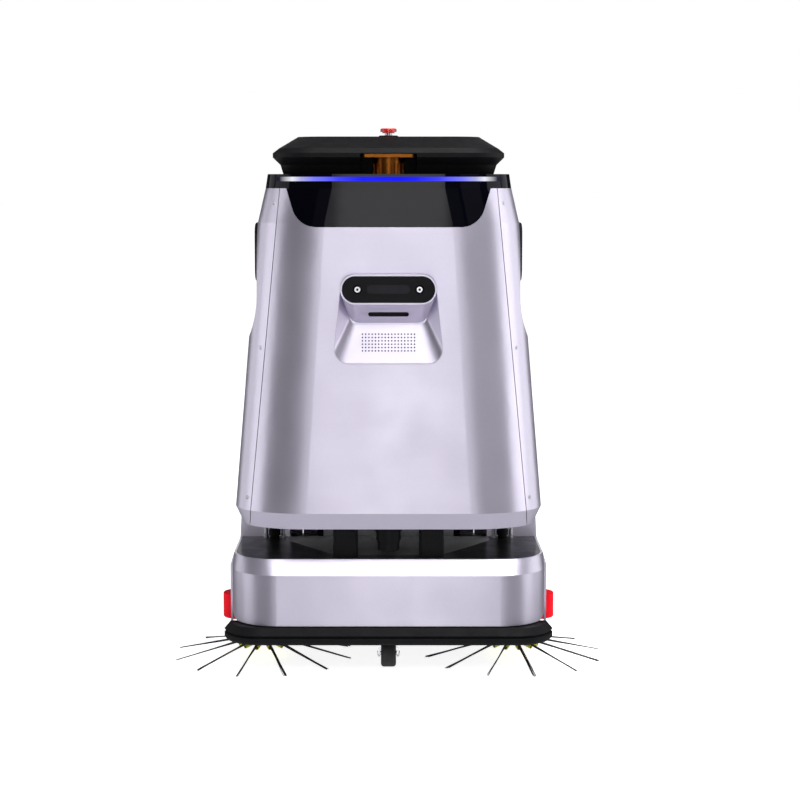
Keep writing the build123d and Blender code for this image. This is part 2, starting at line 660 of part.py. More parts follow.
def make_center_panel():
    panel = up_z(center_panel_plan(0), DECK_Z - PANEL_T, DECK_Z)
    panel &= slab(-400, 400, -400, NOTCH_Y - FIT, DECK_Z - 2, DECK_Z + 1)
    for side in (-1, 1):
        panel -= slab(side * COLUMN_X - COLUMN_W / 2 - 0.3, side * COLUMN_X + COLUMN_W / 2 + 0.3,
                      COLUMN_Y - COLUMN_D / 2 - 0.3, COLUMN_Y + COLUMN_D / 2 + 0.3, DECK_Z - 2, DECK_Z + 1)
    return panel


PANEL_T = 1.5
COLUMN_X, COLUMN_Y = 81.0, BODY_FRONT + 59.0
COLUMN_W, COLUMN_D = 46.0, 30.0
COLUMN_BOLT_R = 5.0
FLOOR_Z = BODY_UNDER_Z + 2.0          # underside of the upper body's floor plate
FLOOR_T = 5.0


def column_plan(side):
    return Pos(side * COLUMN_X, COLUMN_Y) * RectangleRounded(COLUMN_W, COLUMN_D, 6)


def make_columns():
    """Two black posts that carry the front of the upper body, each with a bolt through the deck."""
    columns = []
    for side in (-1, 1):
        foot = DECK_Z - PANEL_T
        column = up_z(column_plan(side), foot, FLOOR_Z)
        column += rod_z(COLUMN_BOLT_R, DECK_Z - DECK_T, foot + 2, side * COLUMN_X, COLUMN_Y)
        columns.append(column)
    return columns


POST_XS = (BASE_HALF - 88.0, BASE_HALF - 54.0)
POST_Y = NOTCH_Y - 14
POST_R = 3.3


def make_posts():
    """Bright standoff posts at the ends of the gap, each with a flange, and a rubber mount between."""
    posts = []
    for side in (-1, 1):
        for x in POST_XS:
            post = rod_z(POST_R, DECK_Z, FLOOR_Z, side * x, POST_Y)
            post += rod_z(POST_R + 2, DECK_Z, DECK_Z + 3, side * x, POST_Y)
            post += rod_z(POST_R + 1.6, DECK_Z + 26, DECK_Z + 34, side * x, POST_Y)
            posts.append(post)
    return posts


def make_isolators():
    """Black rubber mounts between the standoff posts."""
    mounts = []
    for side in (-1, 1):
        x = side * sum(POST_XS) / 2
        mount = rod_z(9, DECK_Z, FLOOR_Z, x, POST_Y)
        for k in range(3):
            mount += rod_z(11.5, DECK_Z + 6 + 18 * k, DECK_Z + 16 + 18 * k, x, POST_Y)
        mounts.append(mount)
    return mounts


LOW_LIDAR_Y = BODY_FRONT + 51.0


def make_low_lidar():
    """Floor-level scanner that hangs from the upper body between the columns."""
    lidar = rod_z(26, FLOOR_Z - 10, FLOOR_Z, 0, LOW_LIDAR_Y)
    lidar += rod_z(23, FLOOR_Z - 28, FLOOR_Z - 10, 0, LOW_LIDAR_Y)
    lidar += rod_z(21.5, FLOOR_Z - 33, FLOOR_Z - 28, 0, LOW_LIDAR_Y)
    lidar += rod_z(20.5, FLOOR_Z - 48, FLOOR_Z - 33, 0, LOW_LIDAR_Y)
    lidar = fillet(lidar.faces().sort_by(Axis.Z)[0].edges(), 2.0)
    return lidar


# ---------------------------------------------------------------- chassis
CHASSIS_TOP = CHASSIS_Z + CHASSIS_T
WHEEL_WELL = 7.0           # room around each drive wheel
RAIL_W = 12.0
RAIL_X = WHEEL_X + WHEEL_W / 2 + WHEEL_WELL + 2 + RAIL_W      # outer side of the rail beside the well
KINGPIN_R = 8.0
CASTER_TOP_Z = 58.0        # top of the fork plate


def make_chassis():
    """Steel chassis: plate with wells, side rails, front box and the caster's swivel block."""
    plan = plan_rect(BASE_HALF - WALL - 2, BODY_FRONT + WALL + 3, BODY_REAR - WALL - 2, BASE_CORNER
                     - WALL - 2)
    chassis = up_z(plan, CHASSIS_Z, CHASSIS_TOP)
    x0 = WHEEL_X - WHEEL_W / 2 - WHEEL_WELL
    x1 = WHEEL_X + WHEEL_W / 2 + WHEEL_WELL
    for side in (-1, 1):
        a, b = sorted((side * x0, side * x1))
        chassis -= slab(a, b, WHEEL_Y - WHEEL_R - WHEEL_WELL, WHEEL_Y + WHEEL_R + WHEEL_WELL,
                        CHASSIS_Z - 1, CHASSIS_TOP + 1)
        chassis -= rod_z(GUIDE_R + 5, CHASSIS_Z - 1, CHASSIS_TOP + 1, side * GUIDE_X, GUIDE_Y)
        # side rail up to the waist, the seat of the upper body
        rail = slab(RAIL_X - RAIL_W, RAIL_X, NOTCH_Y + WALL + 4, BODY_REAR - BASE_CORNER - 12,
                    CHASSIS_TOP, FLOOR_Z)
        chassis += rail if side > 0 else mirrored(rail)
        # legs under the deck
        for y in (BODY_FRONT + 80, NOTCH_Y - 40):
            chassis += slab(side * 150 - 8, side * 150 + 8, y - 8, y + 8, CHASSIS_TOP, DECK_Z - DECK_T)
    # opening above the scrubbing roller
    chassis -= slab(-ROLLER_HALF - 24, ROLLER_HALF + 24, ROLLER_Y - ROLLER_R - 20, ROLLER_Y
                    + ROLLER_R + 20,
                    CHASSIS_Z - 1, CHASSIS_TOP + 1)
    # swivel block for the caster, with its bore
    chassis += rod_z(22, CASTER_TOP_Z + GAP, CHASSIS_Z, 0, CASTER_SWIVEL_Y)
    chassis -= rod_z(KINGPIN_R + RUNNING, CASTER_TOP_Z - 1, CHASSIS_Z - 14, 0, CASTER_SWIVEL_Y)
    # brackets for the squeegee's pivots
    for x in SQUEEGEE_ARMS:
        lug = slab(x - ARM_W / 2 - 8 - GAP, x + ARM_W / 2 + 8 + GAP, SQUEEGEE_PIVOT_Y - 12,
                   SQUEEGEE_PIVOT_Y + 12,
                   SQUEEGEE_PIVOT_Z - 12, CHASSIS_Z)
        lug -= slab(x - ARM_W / 2 - GAP, x + ARM_W / 2 + GAP, SQUEEGEE_PIVOT_Y - 14,
                    SQUEEGEE_PIVOT_Y + 14,
                    SQUEEGEE_PIVOT_Z - 14, CHASSIS_Z)
        pin = rod_x(PIVOT_PIN_R, x - ARM_W / 2 - 4, x + ARM_W / 2 + 4, SQUEEGEE_PIVOT_Y,
                    SQUEEGEE_PIVOT_Z)
        chassis += lug
        chassis += pin
    for bush in make_rail_bushes():
        chassis += bush
    bracket = make_guide_bracket()
    return chassis + bracket + mirrored(bracket)


SQUEEGEE_ARMS = (-110.0, 110.0)
ARM_W = 16.0
PIVOT_PIN_R = 5.0

# ---------------------------------------------------------------- caster
FORK_T = 4.0
AXLE_R = 4.0
FORK_INNER = CASTER_W / 2 + 1.5


def make_caster_fork():
    axle_y = CASTER_SWIVEL_Y - CASTER_TRAIL
    fork = rod_z(22, CASTER_TOP_Z - FORK_T, CASTER_TOP_Z, 0, CASTER_SWIVEL_Y)
    width = FORK_INNER + FORK_T
    fork += slab(-width, width, axle_y - 4, CASTER_SWIVEL_Y, CASTER_TOP_Z - FORK_T, CASTER_TOP_Z)
    for side in (-1, 1):
        inner = side * FORK_INNER
        a, b = sorted((inner, inner + side * FORK_T))
        cheek = shape((axle_y - 7, CASTER_R - 2), (axle_y + 7, CASTER_R - 2),
                      (CASTER_SWIVEL_Y + 4, CASTER_TOP_Z), (axle_y - 4, CASTER_TOP_Z))
        fork += across_x(cheek, a, b)
        fork += rod_x(7, a, b, axle_y, CASTER_R)
    fork += rod_x(AXLE_R, -width - 1.5, width + 1.5, axle_y, CASTER_R)
    fork += rod_z(KINGPIN_R, CASTER_TOP_Z - FORK_T, CHASSIS_Z - 16, 0, CASTER_SWIVEL_Y)
    return fork


def make_caster_wheel():
    axle_y = CASTER_SWIVEL_Y - CASTER_TRAIL
    wheel = rod_x(CASTER_R, -CASTER_W / 2, CASTER_W / 2, axle_y, CASTER_R)
    wheel = fillet(wheel.edges().filter_by(GeomType.CIRCLE), 6.0)
    wheel -= rod_x(AXLE_R + RUNNING, -CASTER_W, CASTER_W, axle_y, CASTER_R)
    return wheel


# ---------------------------------------------------------------- side brushes
SHAFT_R = 7.0
MOTOR_R = 30.0
SLEEVE_END_R = 50.0
TUFT_R0, TUFT_R1 = 3.6, 1.6
TIP_Z = 1.7


def brush_angles(phase):
    return [phase + 360.0 * k / TUFTS for k in range(TUFTS)]


def ray_point(angle, radius):
    """Point on a tuft's centre line, about the brush axis at x = y = 0."""
    z = TUFT_ROOT_Z - (TUFT_ROOT_Z - TIP_Z) * radius / BRUSH_R
    return (radius * sin(radians(angle)), -radius * cos(radians(angle)), z)


def ray_cone(angle, r0, r1, radius0, radius1):
    a, b = Vector(*ray_point(angle, r0)), Vector(*ray_point(angle, r1))
    plane = Plane(origin=a, z_dir=b - a)
    return plane * (Pos(0, 0, (b - a).length / 2) * Cone(radius0, radius1, (b - a).length))


def make_brush_hub(phase):
    """Moulded hub with a sleeve for each tuft and the drive shaft up into the gearbox."""
    hub = rod_z(HUB_R, TUFT_ROOT_Z - 6, TUFT_ROOT_Z + 14)
    hub += rod_z(SHAFT_R, TUFT_ROOT_Z + 10, CHASSIS_Z - 2)
    for angle in brush_angles(phase):
        hub += ray_cone(angle, 8, SLEEVE_END_R, 5.2, 4.4)
        hub -= ray_cone(angle, HUB_R + 2, BRUSH_R, TUFT_R0, TUFT_R1)
    return hub


def make_tufts(phase):
    return [ray_cone(angle, HUB_R + 2, BRUSH_R, TUFT_R0, TUFT_R1) for angle in brush_angles(phase)]


def make_brush_motors():
    motors = []
    for side in (-1, 1):
        x = side * BRUSH_X
        gearbox_z0 = TUFT_ROOT_Z + 14 + 20
        motor = rod_z(18, gearbox_z0, CHASSIS_Z, x, BRUSH_Y)
        motor += rod_z(MOTOR_R, CHASSIS_TOP, DECK_Z - DECK_T - 8, x, BRUSH_Y)
        motor -= rod_z(SHAFT_R + RUNNING, gearbox_z0 - 1, CHASSIS_Z, x, BRUSH_Y)
        motors.append(motor.solids()[0])
        motors.append(motor.solids()[1])
    return motors


# ---------------------------------------------------------------- bumper
def bumper_path(half, front, corner, end):
    """Closed plan of a U-shaped bar's outer side, open to the rear at end."""
    plan = plan_rect(half, front, end + 400, corner)
    return plan & (Pos(0, (front - 20 + end) / 2) * Rectangle(2 * half + 40, end - front + 20))


def make_bumper():
    """Rubber bumper with two lips and a groove between them."""
    thick = 18.0
    mid_z = BUMPER_Z0 + 0.48 * (BUMPER_Z1 - BUMPER_Z0)
    groove = 2.6

    def layer(out, z, inner=False):
        inset = thick if inner else -out
        return Pos(0, 0, z) * bumper_path(BUMPER_HALF - inset, BUMPER_FRONT + inset, BUMPER_CORNER
                                          - inset,
                                          BUMPER_ARM_END)

    lower = loft([layer(-3.0, BUMPER_Z0), layer(0.0, BUMPER_Z0 + 4)], ruled=True)
    lower += up_z(bumper_path(BUMPER_HALF, BUMPER_FRONT, BUMPER_CORNER, BUMPER_ARM_END),
                  BUMPER_Z0 + 4, mid_z - groove / 2 - 2)
    lower += loft([layer(0.0, mid_z - groove / 2 - 2), layer(-2.5, mid_z - groove / 2)], ruled=True)
    core = up_z(bumper_path(BUMPER_HALF - 5, BUMPER_FRONT + 5, BUMPER_CORNER - 5, BUMPER_ARM_END),
                mid_z - groove / 2, mid_z + groove / 2)
    upper = loft([layer(-2.0, mid_z + groove / 2), layer(0.0, mid_z + groove / 2 + 2)], ruled=True)
    upper += loft([layer(0.0, mid_z + groove / 2 + 2), layer(-11.0, BUMPER_Z1)], ruled=True)
    bar = lower + core + upper
    bar -= up_z(bumper_path(BUMPER_HALF - thick, BUMPER_FRONT + thick, BUMPER_CORNER - thick,
                            BUMPER_ARM_END + 20),
                BUMPER_Z0 - 1, BUMPER_Z1 + 1)
    return bar


SLIDER_X = 120.0


def make_bumper_rail():
    """Steel carrier behind the rubber, on two slide rods that run in bushes under the chassis."""
    y_out = BUMPER_FRONT + 18.0
    rail = slab(-200, 200, y_out, y_out + 3, BUMPER_Z0 + 6, BUMPER_Z1 - 2)
    for side in (-1, 1):
        rail += rod_y(5, y_out + 1, y_out + 95, side * SLIDER_X, BUMPER_Z1 - 12)
    return rail


def make_rail_bushes():
    bushes = []
    y0 = BUMPER_FRONT + 18.0 + 3 + BUMPER_TRAVEL + 6
    for side in (-1, 1):
        x = side * SLIDER_X
        bush = slab(x - 11, x + 11, y0, y0 + 36, BUMPER_Z1 - 22, CHASSIS_Z)
        bush -= rod_y(5 + RUNNING, y0 - 5, y0 + 50, x, BUMPER_Z1 - 12)
        bushes.append(bush)
    return bushes


# ---------------------------------------------------------------- guide rollers
GUIDE_PIN_R = 4.0


def make_guide_roller():
    roller = rod_z(GUIDE_R, GUIDE_Z0, GUIDE_Z1, GUIDE_X, GUIDE_Y)
    roller = fillet(roller.edges().filter_by(GeomType.CIRCLE), 3.5)
    return roller - rod_z(GUIDE_PIN_R + RUNNING, GUIDE_Z0 - 1, GUIDE_Z1 + 1, GUIDE_X, GUIDE_Y)


def make_guide_bracket():
    """C-shaped bracket with the roller's upright pin."""
    back_x = GUIDE_X - GUIDE_R - 7
    front_x = GUIDE_X + 4
    z0, z1 = GUIDE_Z0 - GAP - 3, GUIDE_Z1 + GAP + 3
    bracket = slab(back_x, front_x, GUIDE_Y - 9, GUIDE_Y + 9, GUIDE_Z1 + GAP, z1)
    bracket += slab(back_x, front_x, GUIDE_Y - 9, GUIDE_Y + 9, z0, GUIDE_Z0 - GAP)
    bracket += slab(back_x, back_x + 4, GUIDE_Y - 9, GUIDE_Y + 9, z0,
                    CHASSIS_Z if CHASSIS_Z > z1 else z1)
    bracket += rod_z(GUIDE_PIN_R, z0, z1, GUIDE_X, GUIDE_Y)
    return bracket


# ---------------------------------------------------------------- drive wheels
HUB_OUT_R = 74.0
DRIVE_SHAFT_R = 10.0


def make_tyre():
    tyre = rod_x(WHEEL_R, WHEEL_X - WHEEL_W / 2, WHEEL_X + WHEEL_W / 2, WHEEL_Y, WHEEL_R)
    tyre = fillet(tyre.edges().filter_by(GeomType.CIRCLE), 7.0)
    for k in (-1, 0, 1):
        x = WHEEL_X + k * 10
        groove = rod_x(WHEEL_R + 1, x - 1.5, x + 1.5, WHEEL_Y, WHEEL_R)
        tyre -= groove - rod_x(WHEEL_R - 3, x - 3, x + 3, WHEEL_Y, WHEEL_R)
    return tyre - rod_x(HUB_OUT_R, WHEEL_X - WHEEL_W, WHEEL_X + WHEEL_W, WHEEL_Y, WHEEL_R)


def make_wheel_hub():
    hub = rod_x(HUB_OUT_R, WHEEL_X - WHEEL_W / 2 + 3, WHEEL_X + WHEEL_W / 2 - 3, WHEEL_Y, WHEEL_R)
    for side in (-1, 1):
        face = WHEEL_X + side * (WHEEL_W / 2 - 3)
        dish = rod_x(HUB_OUT_R - 9, face - 12, face + 12, WHEEL_Y, WHEEL_R)
        hub -= dish - rod_x(26, face - 13, face + 13, WHEEL_Y, WHEEL_R)
    for k in range(6):
        angle = radians(60 * k)
        hub -= rod_x(11, WHEEL_X - WHEEL_W, WHEEL_X + WHEEL_W,
                     WHEEL_Y + 45 * cos(angle), WHEEL_R + 45 * sin(angle))
    return hub - rod_x(DRIVE_SHAFT_R + RUNNING, WHEEL_X - WHEEL_W, WHEEL_X + WHEEL_W, WHEEL_Y, WHEEL_R)


def make_drive_motors():
    motors = []
    inner = WHEEL_X - WHEEL_W / 2
    for side in (-1, 1):
        motor = rod_x(24, inner - 90, inner - 12, WHEEL_Y, WHEEL_R)
        motor += slab(inner - 12, inner - 6, WHEEL_Y - 30, WHEEL_Y + 30, WHEEL_R - 26, CHASSIS_Z)
        motor += rod_x(DRIVE_SHAFT_R, inner - 13, WHEEL_X + WHEEL_W / 2 - 4, WHEEL_Y, WHEEL_R)
        motor -= slab(inner - 40, inner - 12, WHEEL_Y - 40, WHEEL_Y + 40, CHASSIS_Z, CHASSIS_Z + 40)
        motors.append(motor if side > 0 else mirrored(motor))
    return motors


# ---------------------------------------------------------------- scrubbing roller
DECK_CLEAR = 6.0
ROLLER_SHAFT_R = 8.0
ROLLER_FINS = 10


ROLLER_Z = ROLLER_R + 1.2              # fins just off the floor


def make_roller_housing():
    """Hood over the roller with end plates, hung on two lift rods."""
    inner = ROLLER_R + DECK_CLEAR
    outer = inner + 4
    half = ROLLER_HALF + 4
    hood = rod_x(outer, -half - 5, half + 5, ROLLER_Y, ROLLER_Z) - rod_x(inner, -half, half,
                                                                         ROLLER_Y, ROLLER_Z)
    hood &= slab(-400, 400, ROLLER_Y - 100, ROLLER_Y + 100, ROLLER_Z - 22, ROLLER_Z + 100)
    for side in (-1, 1):
        hood -= rod_x(ROLLER_SHAFT_R + RUNNING, side * (half - 1), side * (half + 6), ROLLER_Y,
                      ROLLER_Z)
    return hood


def make_roller():
    """Bristle roller: core with straight fins and a shaft stub at each end."""
    core = rod_x(ROLLER_R - 16, -ROLLER_HALF, ROLLER_HALF, ROLLER_Y, ROLLER_Z)
    for k in range(ROLLER_FINS):
        fin = slab(-ROLLER_HALF, ROLLER_HALF, -4, 4, ROLLER_R - 20, ROLLER_R)
        core += Pos(0, ROLLER_Y, ROLLER_Z) * Rot(360 / ROLLER_FINS * (k + 0.5), 0, 0) * fin
    core += rod_x(ROLLER_SHAFT_R, -ROLLER_HALF - 8, ROLLER_HALF + 8, ROLLER_Y, ROLLER_Z)
    return core


# ---------------------------------------------------------------- squeegee
BLADE_T = 4.0
FRAME_Z0, FRAME_Z1 = 30.0, 52.0
SQUEEGEE_CENTRE_Y = SQUEEGEE_REAR - SQUEEGEE_R


def arc_bar(r0, r1, half_angle, z0, z1):
    """Bar along an arc about the squeegee's centre, open towards the front."""
    ring = ring_z(r1, r0, z0, z1, 0, SQUEEGEE_CENTRE_Y)
    reach = SQUEEGEE_R * 1.2
    edge = reach * tan(radians(half_angle))
    wedge = up_z(shape((0, 0), (edge, reach), (-edge, reach)), z0 - 1, z1 + 1)
    return ring & (Pos(0, SQUEEGEE_CENTRE_Y, 0) * wedge)


def make_squeegee_frame():
    outer = SQUEEGEE_R - BLADE_T - GAP
    frame = arc_bar(outer - 34, outer, SQUEEGEE_HALF_ANGLE, FRAME_Z0, FRAME_Z1)
    for x in SQUEEGEE_ARMS:
        y_end = SQUEEGEE_CENTRE_Y + sqrt((outer - 10) ** 2 - x ** 2)
        arm = shape((SQUEEGEE_PIVOT_Y - 8, SQUEEGEE_PIVOT_Z - 4),
                    (SQUEEGEE_PIVOT_Y + 8, SQUEEGEE_PIVOT_Z + 4),
                    (y_end, FRAME_Z1 + 8), (y_end, FRAME_Z1 - 5), (y_end - 18, FRAME_Z1 - 5))
        frame += across_x(arm, x - ARM_W / 2, x + ARM_W / 2)
        frame += rod_x(9, x - ARM_W / 2, x + ARM_W / 2, SQUEEGEE_PIVOT_Y, SQUEEGEE_PIVOT_Z)
        frame -= rod_x(PIVOT_PIN_R + RUNNING, x - ARM_W, x + ARM_W, SQUEEGEE_PIVOT_Y, SQUEEGEE_PIVOT_Z)
    return frame


def make_blades():
    """Rear and front rubber blades, clamped to the frame."""
    outer = SQUEEGEE_R - BLADE_T - GAP
    rear = arc_bar(outer, outer + BLADE_T, SQUEEGEE_HALF_ANGLE, 0.8, FRAME_Z1 - 4)
    front = arc_bar(outer - 34 - BLADE_T, outer - 34, SQUEEGEE_HALF_ANGLE - 1, 0.8, FRAME_Z1 - 8)
    return [rear, front]


# ---------------------------------------------------------------- bin, tanks, battery
def make_bin():
    """Waste bin that pulls out to the rear, open on top, with a face and a grip."""
    y0, y1 = WHEEL_Y - 20, BODY_REAR - WALL - 1
    tray = slab(-BIN_HALF, BIN_HALF, y0, y1, BIN_Z0 + 2, BIN_Z1 - 6)
    tray -= slab(-BIN_HALF + 3, BIN_HALF - 3, y0 + 3, y1 - 3, BIN_Z0 + 5, BIN_Z1)
    face = slab(-BIN_HALF, BIN_HALF, y1, BODY_REAR + 3, BIN_Z0, BIN_Z1)
    grip = Pos(0, (BIN_Z0 + BIN_Z1) / 2 + 20) * RectangleRounded(120, 34, 16)
    dish = along_y(Pos(0, (BIN_Z0 + BIN_Z1) / 2 + 20) * RectangleRounded(128, 42, 20), y1 - 18, y1)
    return (tray + face + dish) - along_y(grip, y1 - 15, BODY_REAR + 10)


def make_battery():
    return [fillet(slab(-130, 130, ROLLER_Y - 140, ROLLER_Y + 40, BIN_Z0 + 8, FLOOR_Z
                        - 12).edges(), 4.0)]


TANK_HALF = TOP_HALF - 39
TANK_Z0 = BODY_CREASE_Z + 14.0
TANK_WALL = 4.0


def make_clean_tank():
    """Clean-water tank in the middle of the upper body, hollow, with a neck."""
    z1 = SCOOP_Z0 - 12 + 90
    outer = up_z(plan_rect(TANK_HALF, BODY_FRONT + 60, 60, 40), TANK_Z0, z1)
    inner = up_z(plan_rect(TANK_HALF - TANK_WALL, BODY_FRONT + 60 + TANK_WALL, 60 - TANK_WALL, 40
                           - TANK_WALL),
                 TANK_Z0 + TANK_WALL, z1 - TANK_WALL)
    neck = ring_z(28, 24, z1 - TANK_WALL, z1 + 22, 0, -60)
    tank = outer - inner
    tank -= rod_z(24, z1 - 20, z1 + 30, 0, -60)
    return tank + neck


def make_recovery_tank():
    """Dirty-water tank behind the rear door, with a carrying handle moulded on top."""
    y0, y1 = 80.0, BODY_REAR - 52
    z1 = DOOR_Z1 - 60
    outer = up_z(Pos(0, (y0 + y1) / 2) * RectangleRounded(2 * (DOOR_HALF - 30), y1 - y0, 30),
                 TANK_Z0, z1)
    inner = up_z(Pos(0, (y0 + y1) / 2) * RectangleRounded(
        2 * (DOOR_HALF - 30
             - TANK_WALL), y1 - y0 - 2 * TANK_WALL, 26), TANK_Z0 + TANK_WALL, z1 - TANK_WALL)
    handle = along_y(Pos(0, z1 + 18) * RectangleRounded(140, 44, 14), (y0 + y1) / 2 - 10,
                     (y0 + y1) / 2 + 10)
    handle -= along_y(Pos(0, z1 + 16) * RectangleRounded(112, 24, 10), y0, y1)
    handle &= slab(-100, 100, y0, y1, z1, z1 + 60)
    return (outer - inner) + handle


SHELF_Z, SHELF_T = DOOR_Z1 - 150, 5.0


def make_fan():
    """Suction fan: volute with a motor on top and an outlet."""
    z0 = SHELF_Z + SHELF_T
    y = -70
    fan = rod_z(78, z0, z0 + 46, 0, y) + rod_z(42, z0 + 46, z0 + 104, 0, y)
    fan += slab(30, 78, y, y + 110, z0 + 4, z0 + 42)
    return fan - slab(34, 74, y + 60, y + 120, z0 + 8, z0 + 38)


def make_tower():
    """Frame of the upper body: floor plate, four uprights, a fan shelf and the top ring."""
    plan = plan_soft(BODY_HALF - UNDER_INSET - WALL - 3, BODY_FRONT + UNDER_INSET + WALL + 3,
                     BODY_REAR - UNDER_INSET - WALL - 3, BODY_CORNER - UNDER_INSET - WALL - 3)
    tower = up_z(plan, FLOOR_Z, FLOOR_Z + FLOOR_T)
    half, front, rear, corner = body_at(BODY_TOP_Z)
    top0 = BODY_TOP_Z - 6
    ring = up_z(plan_soft(half - WALL - 1.5, front + WALL + 1.5, rear - WALL - 1.5, corner - WALL
                          - 1.5),
                top0, BODY_TOP_Z)
    ring -= up_z(plan_soft(half - WALL - 30, front + WALL + 34, rear - WALL - 30, corner - WALL - 26),
                 top0 - 1, BODY_TOP_Z + 1)
    tower += ring
    post_x, post_y0, post_y1 = half - 31, front + 66, rear - 60
    for side in (-1, 1):
        for y in (post_y0, post_y1):
            x = side * post_x
            upright = slab(x - 8, x + 8, y - 12, y + 12, FLOOR_Z + FLOOR_T, top0)
            tower += upright
    tower += slab(-post_x, post_x, post_y0, 30, SHELF_Z, SHELF_Z + SHELF_T)
    for side in (-1, 1):
        tower += slab(side * post_x - 6, side * post_x + 6, post_y0, post_y1, SHELF_Z, SHELF_Z
                      + SHELF_T)
    return tower


def make_controller():
    z0 = SHELF_Z + SHELF_T
    y1 = BODY_FRONT + 170
    box = fillet(slab(-120, 120, y1 - 80, y1, z0, z0 + 130).edges(), 3.0)
    for k in range(9):
        x = (k - 4) * 22
        box += slab(x - 2, x + 2, y1 - 70, y1 - 10, z0 + 129, z0 + 142)
    return box


def make_contacts():
    """Two brass charging strips on the rear panel, below the bin."""
    strips = []
    z = CHASSIS_Z - 2
    for side in (-1, 1):
        x = side * 50
        strip = slab(x - 22, x + 22, BODY_REAR, BODY_REAR + 3.5, z - 6, z + 6)
        strips.append(fillet(strip.faces().sort_by(Axis.Y)[-1].edges(), 1.5))
    return strips


# ---------------------------------------------------------------- head
RIM_TOP_Z = BODY_TOP_Z + RIM_H
RIM_TAPER = 4.0
LED_Z, LED_H, LED_DEPTH = BODY_TOP_Z + 17.0, 8.0, 3.0
LED_END_X = TOP_HALF - 19.0


def rim_solid(inset):
    return loft([body_plan(BODY_TOP_Z, inset), body_plan(BODY_TOP_Z, inset + RIM_TAPER,
                                                         RIM_TOP_Z)], ruled=True)


def led_zone():
    half, front, _, corner = body_at(BODY_TOP_Z)
    reach = min(LED_END_X, half - 10)
    run = corner + CORNER_SPREAD
    depth = corner * (1 - sqrt(1 - ((reach - half + run) / run) ** 2))
    return slab(-reach, reach, front - 10, front + depth + 6, LED_Z - LED_H / 2, LED_Z + LED_H / 2)


def make_rim():
    """Gloss black rim with a closed top and the groove for the light strip."""
    rim = rim_solid(0) - (rim_solid(WALL + 2) & slab(-400, 400, -400, 400, BODY_TOP_Z - 1,
                                                     RIM_TOP_Z - 4))
    rim -= led_zone() - rim_solid(LED_DEPTH)
    return rim


def make_led():
    return (rim_solid(0) - rim_solid(LED_DEPTH)) & led_zone()


POCKET_HALF = 52.5


def head_plan(half, front, rear, corner, z):
    return Pos(0, 0, z) * plan_rect(half, front, rear, corner)


def pocket(z0, z1, grow=0.0):
    """Room for the upper scanner, open to the front."""
    return slab(-POCKET_HALF - grow, POCKET_HALF + grow, HOOD_FRONT - 5, LIDAR_Y + 60 + grow, z0, z1)


def make_neck():
    """Narrow black neck between the rim and the hood, with the scanner's pocket in front."""
    neck = loft([head_plan(NECK_HALF, HOOD_FRONT + 22, HOOD_REAR - 22, 62, RIM_TOP_Z),
                 head_plan(NECK_HALF + 5, HOOD_FRONT + 14, HOOD_REAR - 16, 66, LIP_Z - 14)], ruled=True)
    wall = 6.0
    room = up_z(plan_rect(NECK_HALF - wall, HOOD_FRONT + 22 + wall, HOOD_REAR - 22 - wall, 62 - wall),
                RIM_TOP_Z - 1, LIP_Z)
    neck -= room - pocket(RIM_TOP_Z - 1, LIP_Z, wall)
    return neck - pocket(RIM_TOP_Z - 1, LIP_Z)


SCREEN_W, SCREEN_T = 235.0, 9.0
SLOPE_START_Y = 120.0


def make_hood():
    """Black hood: under-bevel, upright lip, shoulder bevel and a flat top that slopes down at the rear."""
    z0, z1, z2, z3 = LIP_Z - 14, LIP_Z + 8, LIP_Z + 17, HOOD_TOP_Z
    front_top = HOOD_FRONT + 98
    hood = loft([head_plan(HOOD_HALF - 14, HOOD_FRONT + 14, HOOD_REAR - 14, 66, z0),
                 head_plan(HOOD_HALF, HOOD_FRONT, HOOD_REAR, 74, LIP_Z)], ruled=True)
    hood += up_z(plan_rect(HOOD_HALF, HOOD_FRONT, HOOD_REAR, 74), LIP_Z, z1)
    hood += loft([head_plan(HOOD_HALF, HOOD_FRONT, HOOD_REAR, 74, z1),
                  head_plan(HOOD_HALF - 11, HOOD_FRONT + 12, HOOD_REAR - 12, 70, z2),
                  head_plan(HOOD_TOP_HALF, front_top, HOOD_REAR - 40, 52, z3)], ruled=True)
    # the operator's slope at the rear, cut as a plane
    drop = (HOOD_REAR - SLOPE_START_Y) * tan(radians(14))
    cutter = shape((SLOPE_START_Y, HOOD_TOP_Z + 0.0), (HOOD_REAR + 10, HOOD_TOP_Z - drop),
                   (HOOD_REAR + 10, HOOD_TOP_Z + 30), (SLOPE_START_Y, HOOD_TOP_Z + 30))
    hood -= across_x(cutter, -300, 300)
    # the moulding is hollow, with a skin around the scanner's pocket and the screen's seat
    skin = 5.0
    room = loft([head_plan(HOOD_HALF - 14 - skin, HOOD_FRONT + 14 + skin, HOOD_REAR - 14 - skin,
                           60, z0 - 1),
                 head_plan(HOOD_HALF - 11 - skin, HOOD_FRONT + 14 + skin, HOOD_REAR - 14 - skin,
                           60, z2 - 2),
                 head_plan(HOOD_TOP_HALF - 2 * skin, front_top + 2 * skin, HOOD_REAR - 40
                           - 2 * skin, 46, z3 - skin)],
                ruled=True)
    room -= Pos(0, 0, -skin) * across_x(cutter, -300, 300)
    room -= pocket(z0 - 2, LIP_Z + 6.5 + skin, skin)
    room -= screen_block(skin, 40)
    hood -= room
    # pocket over the scanner, and the seats of the stop button and the power button
    hood -= pocket(z0 - 1, LIP_Z + 6.5)
    hood -= rod_z(E_STOP_R - 3.5, HOOD_TOP_Z - 26, HOOD_TOP_Z + 1, 0, E_STOP_Y)
    hood -= rod_z(E_STOP_R + 3 + FIT, HOOD_TOP_Z - E_STOP_SEAT, HOOD_TOP_Z + 1, 0, E_STOP_Y)
    hood -= rod_z(POWER_R + GAP, HOOD_TOP_Z - 12, HOOD_TOP_Z + 1, POWER_X, POWER_Y)
    hood -= screen_block(0.3, 30)
    return hood


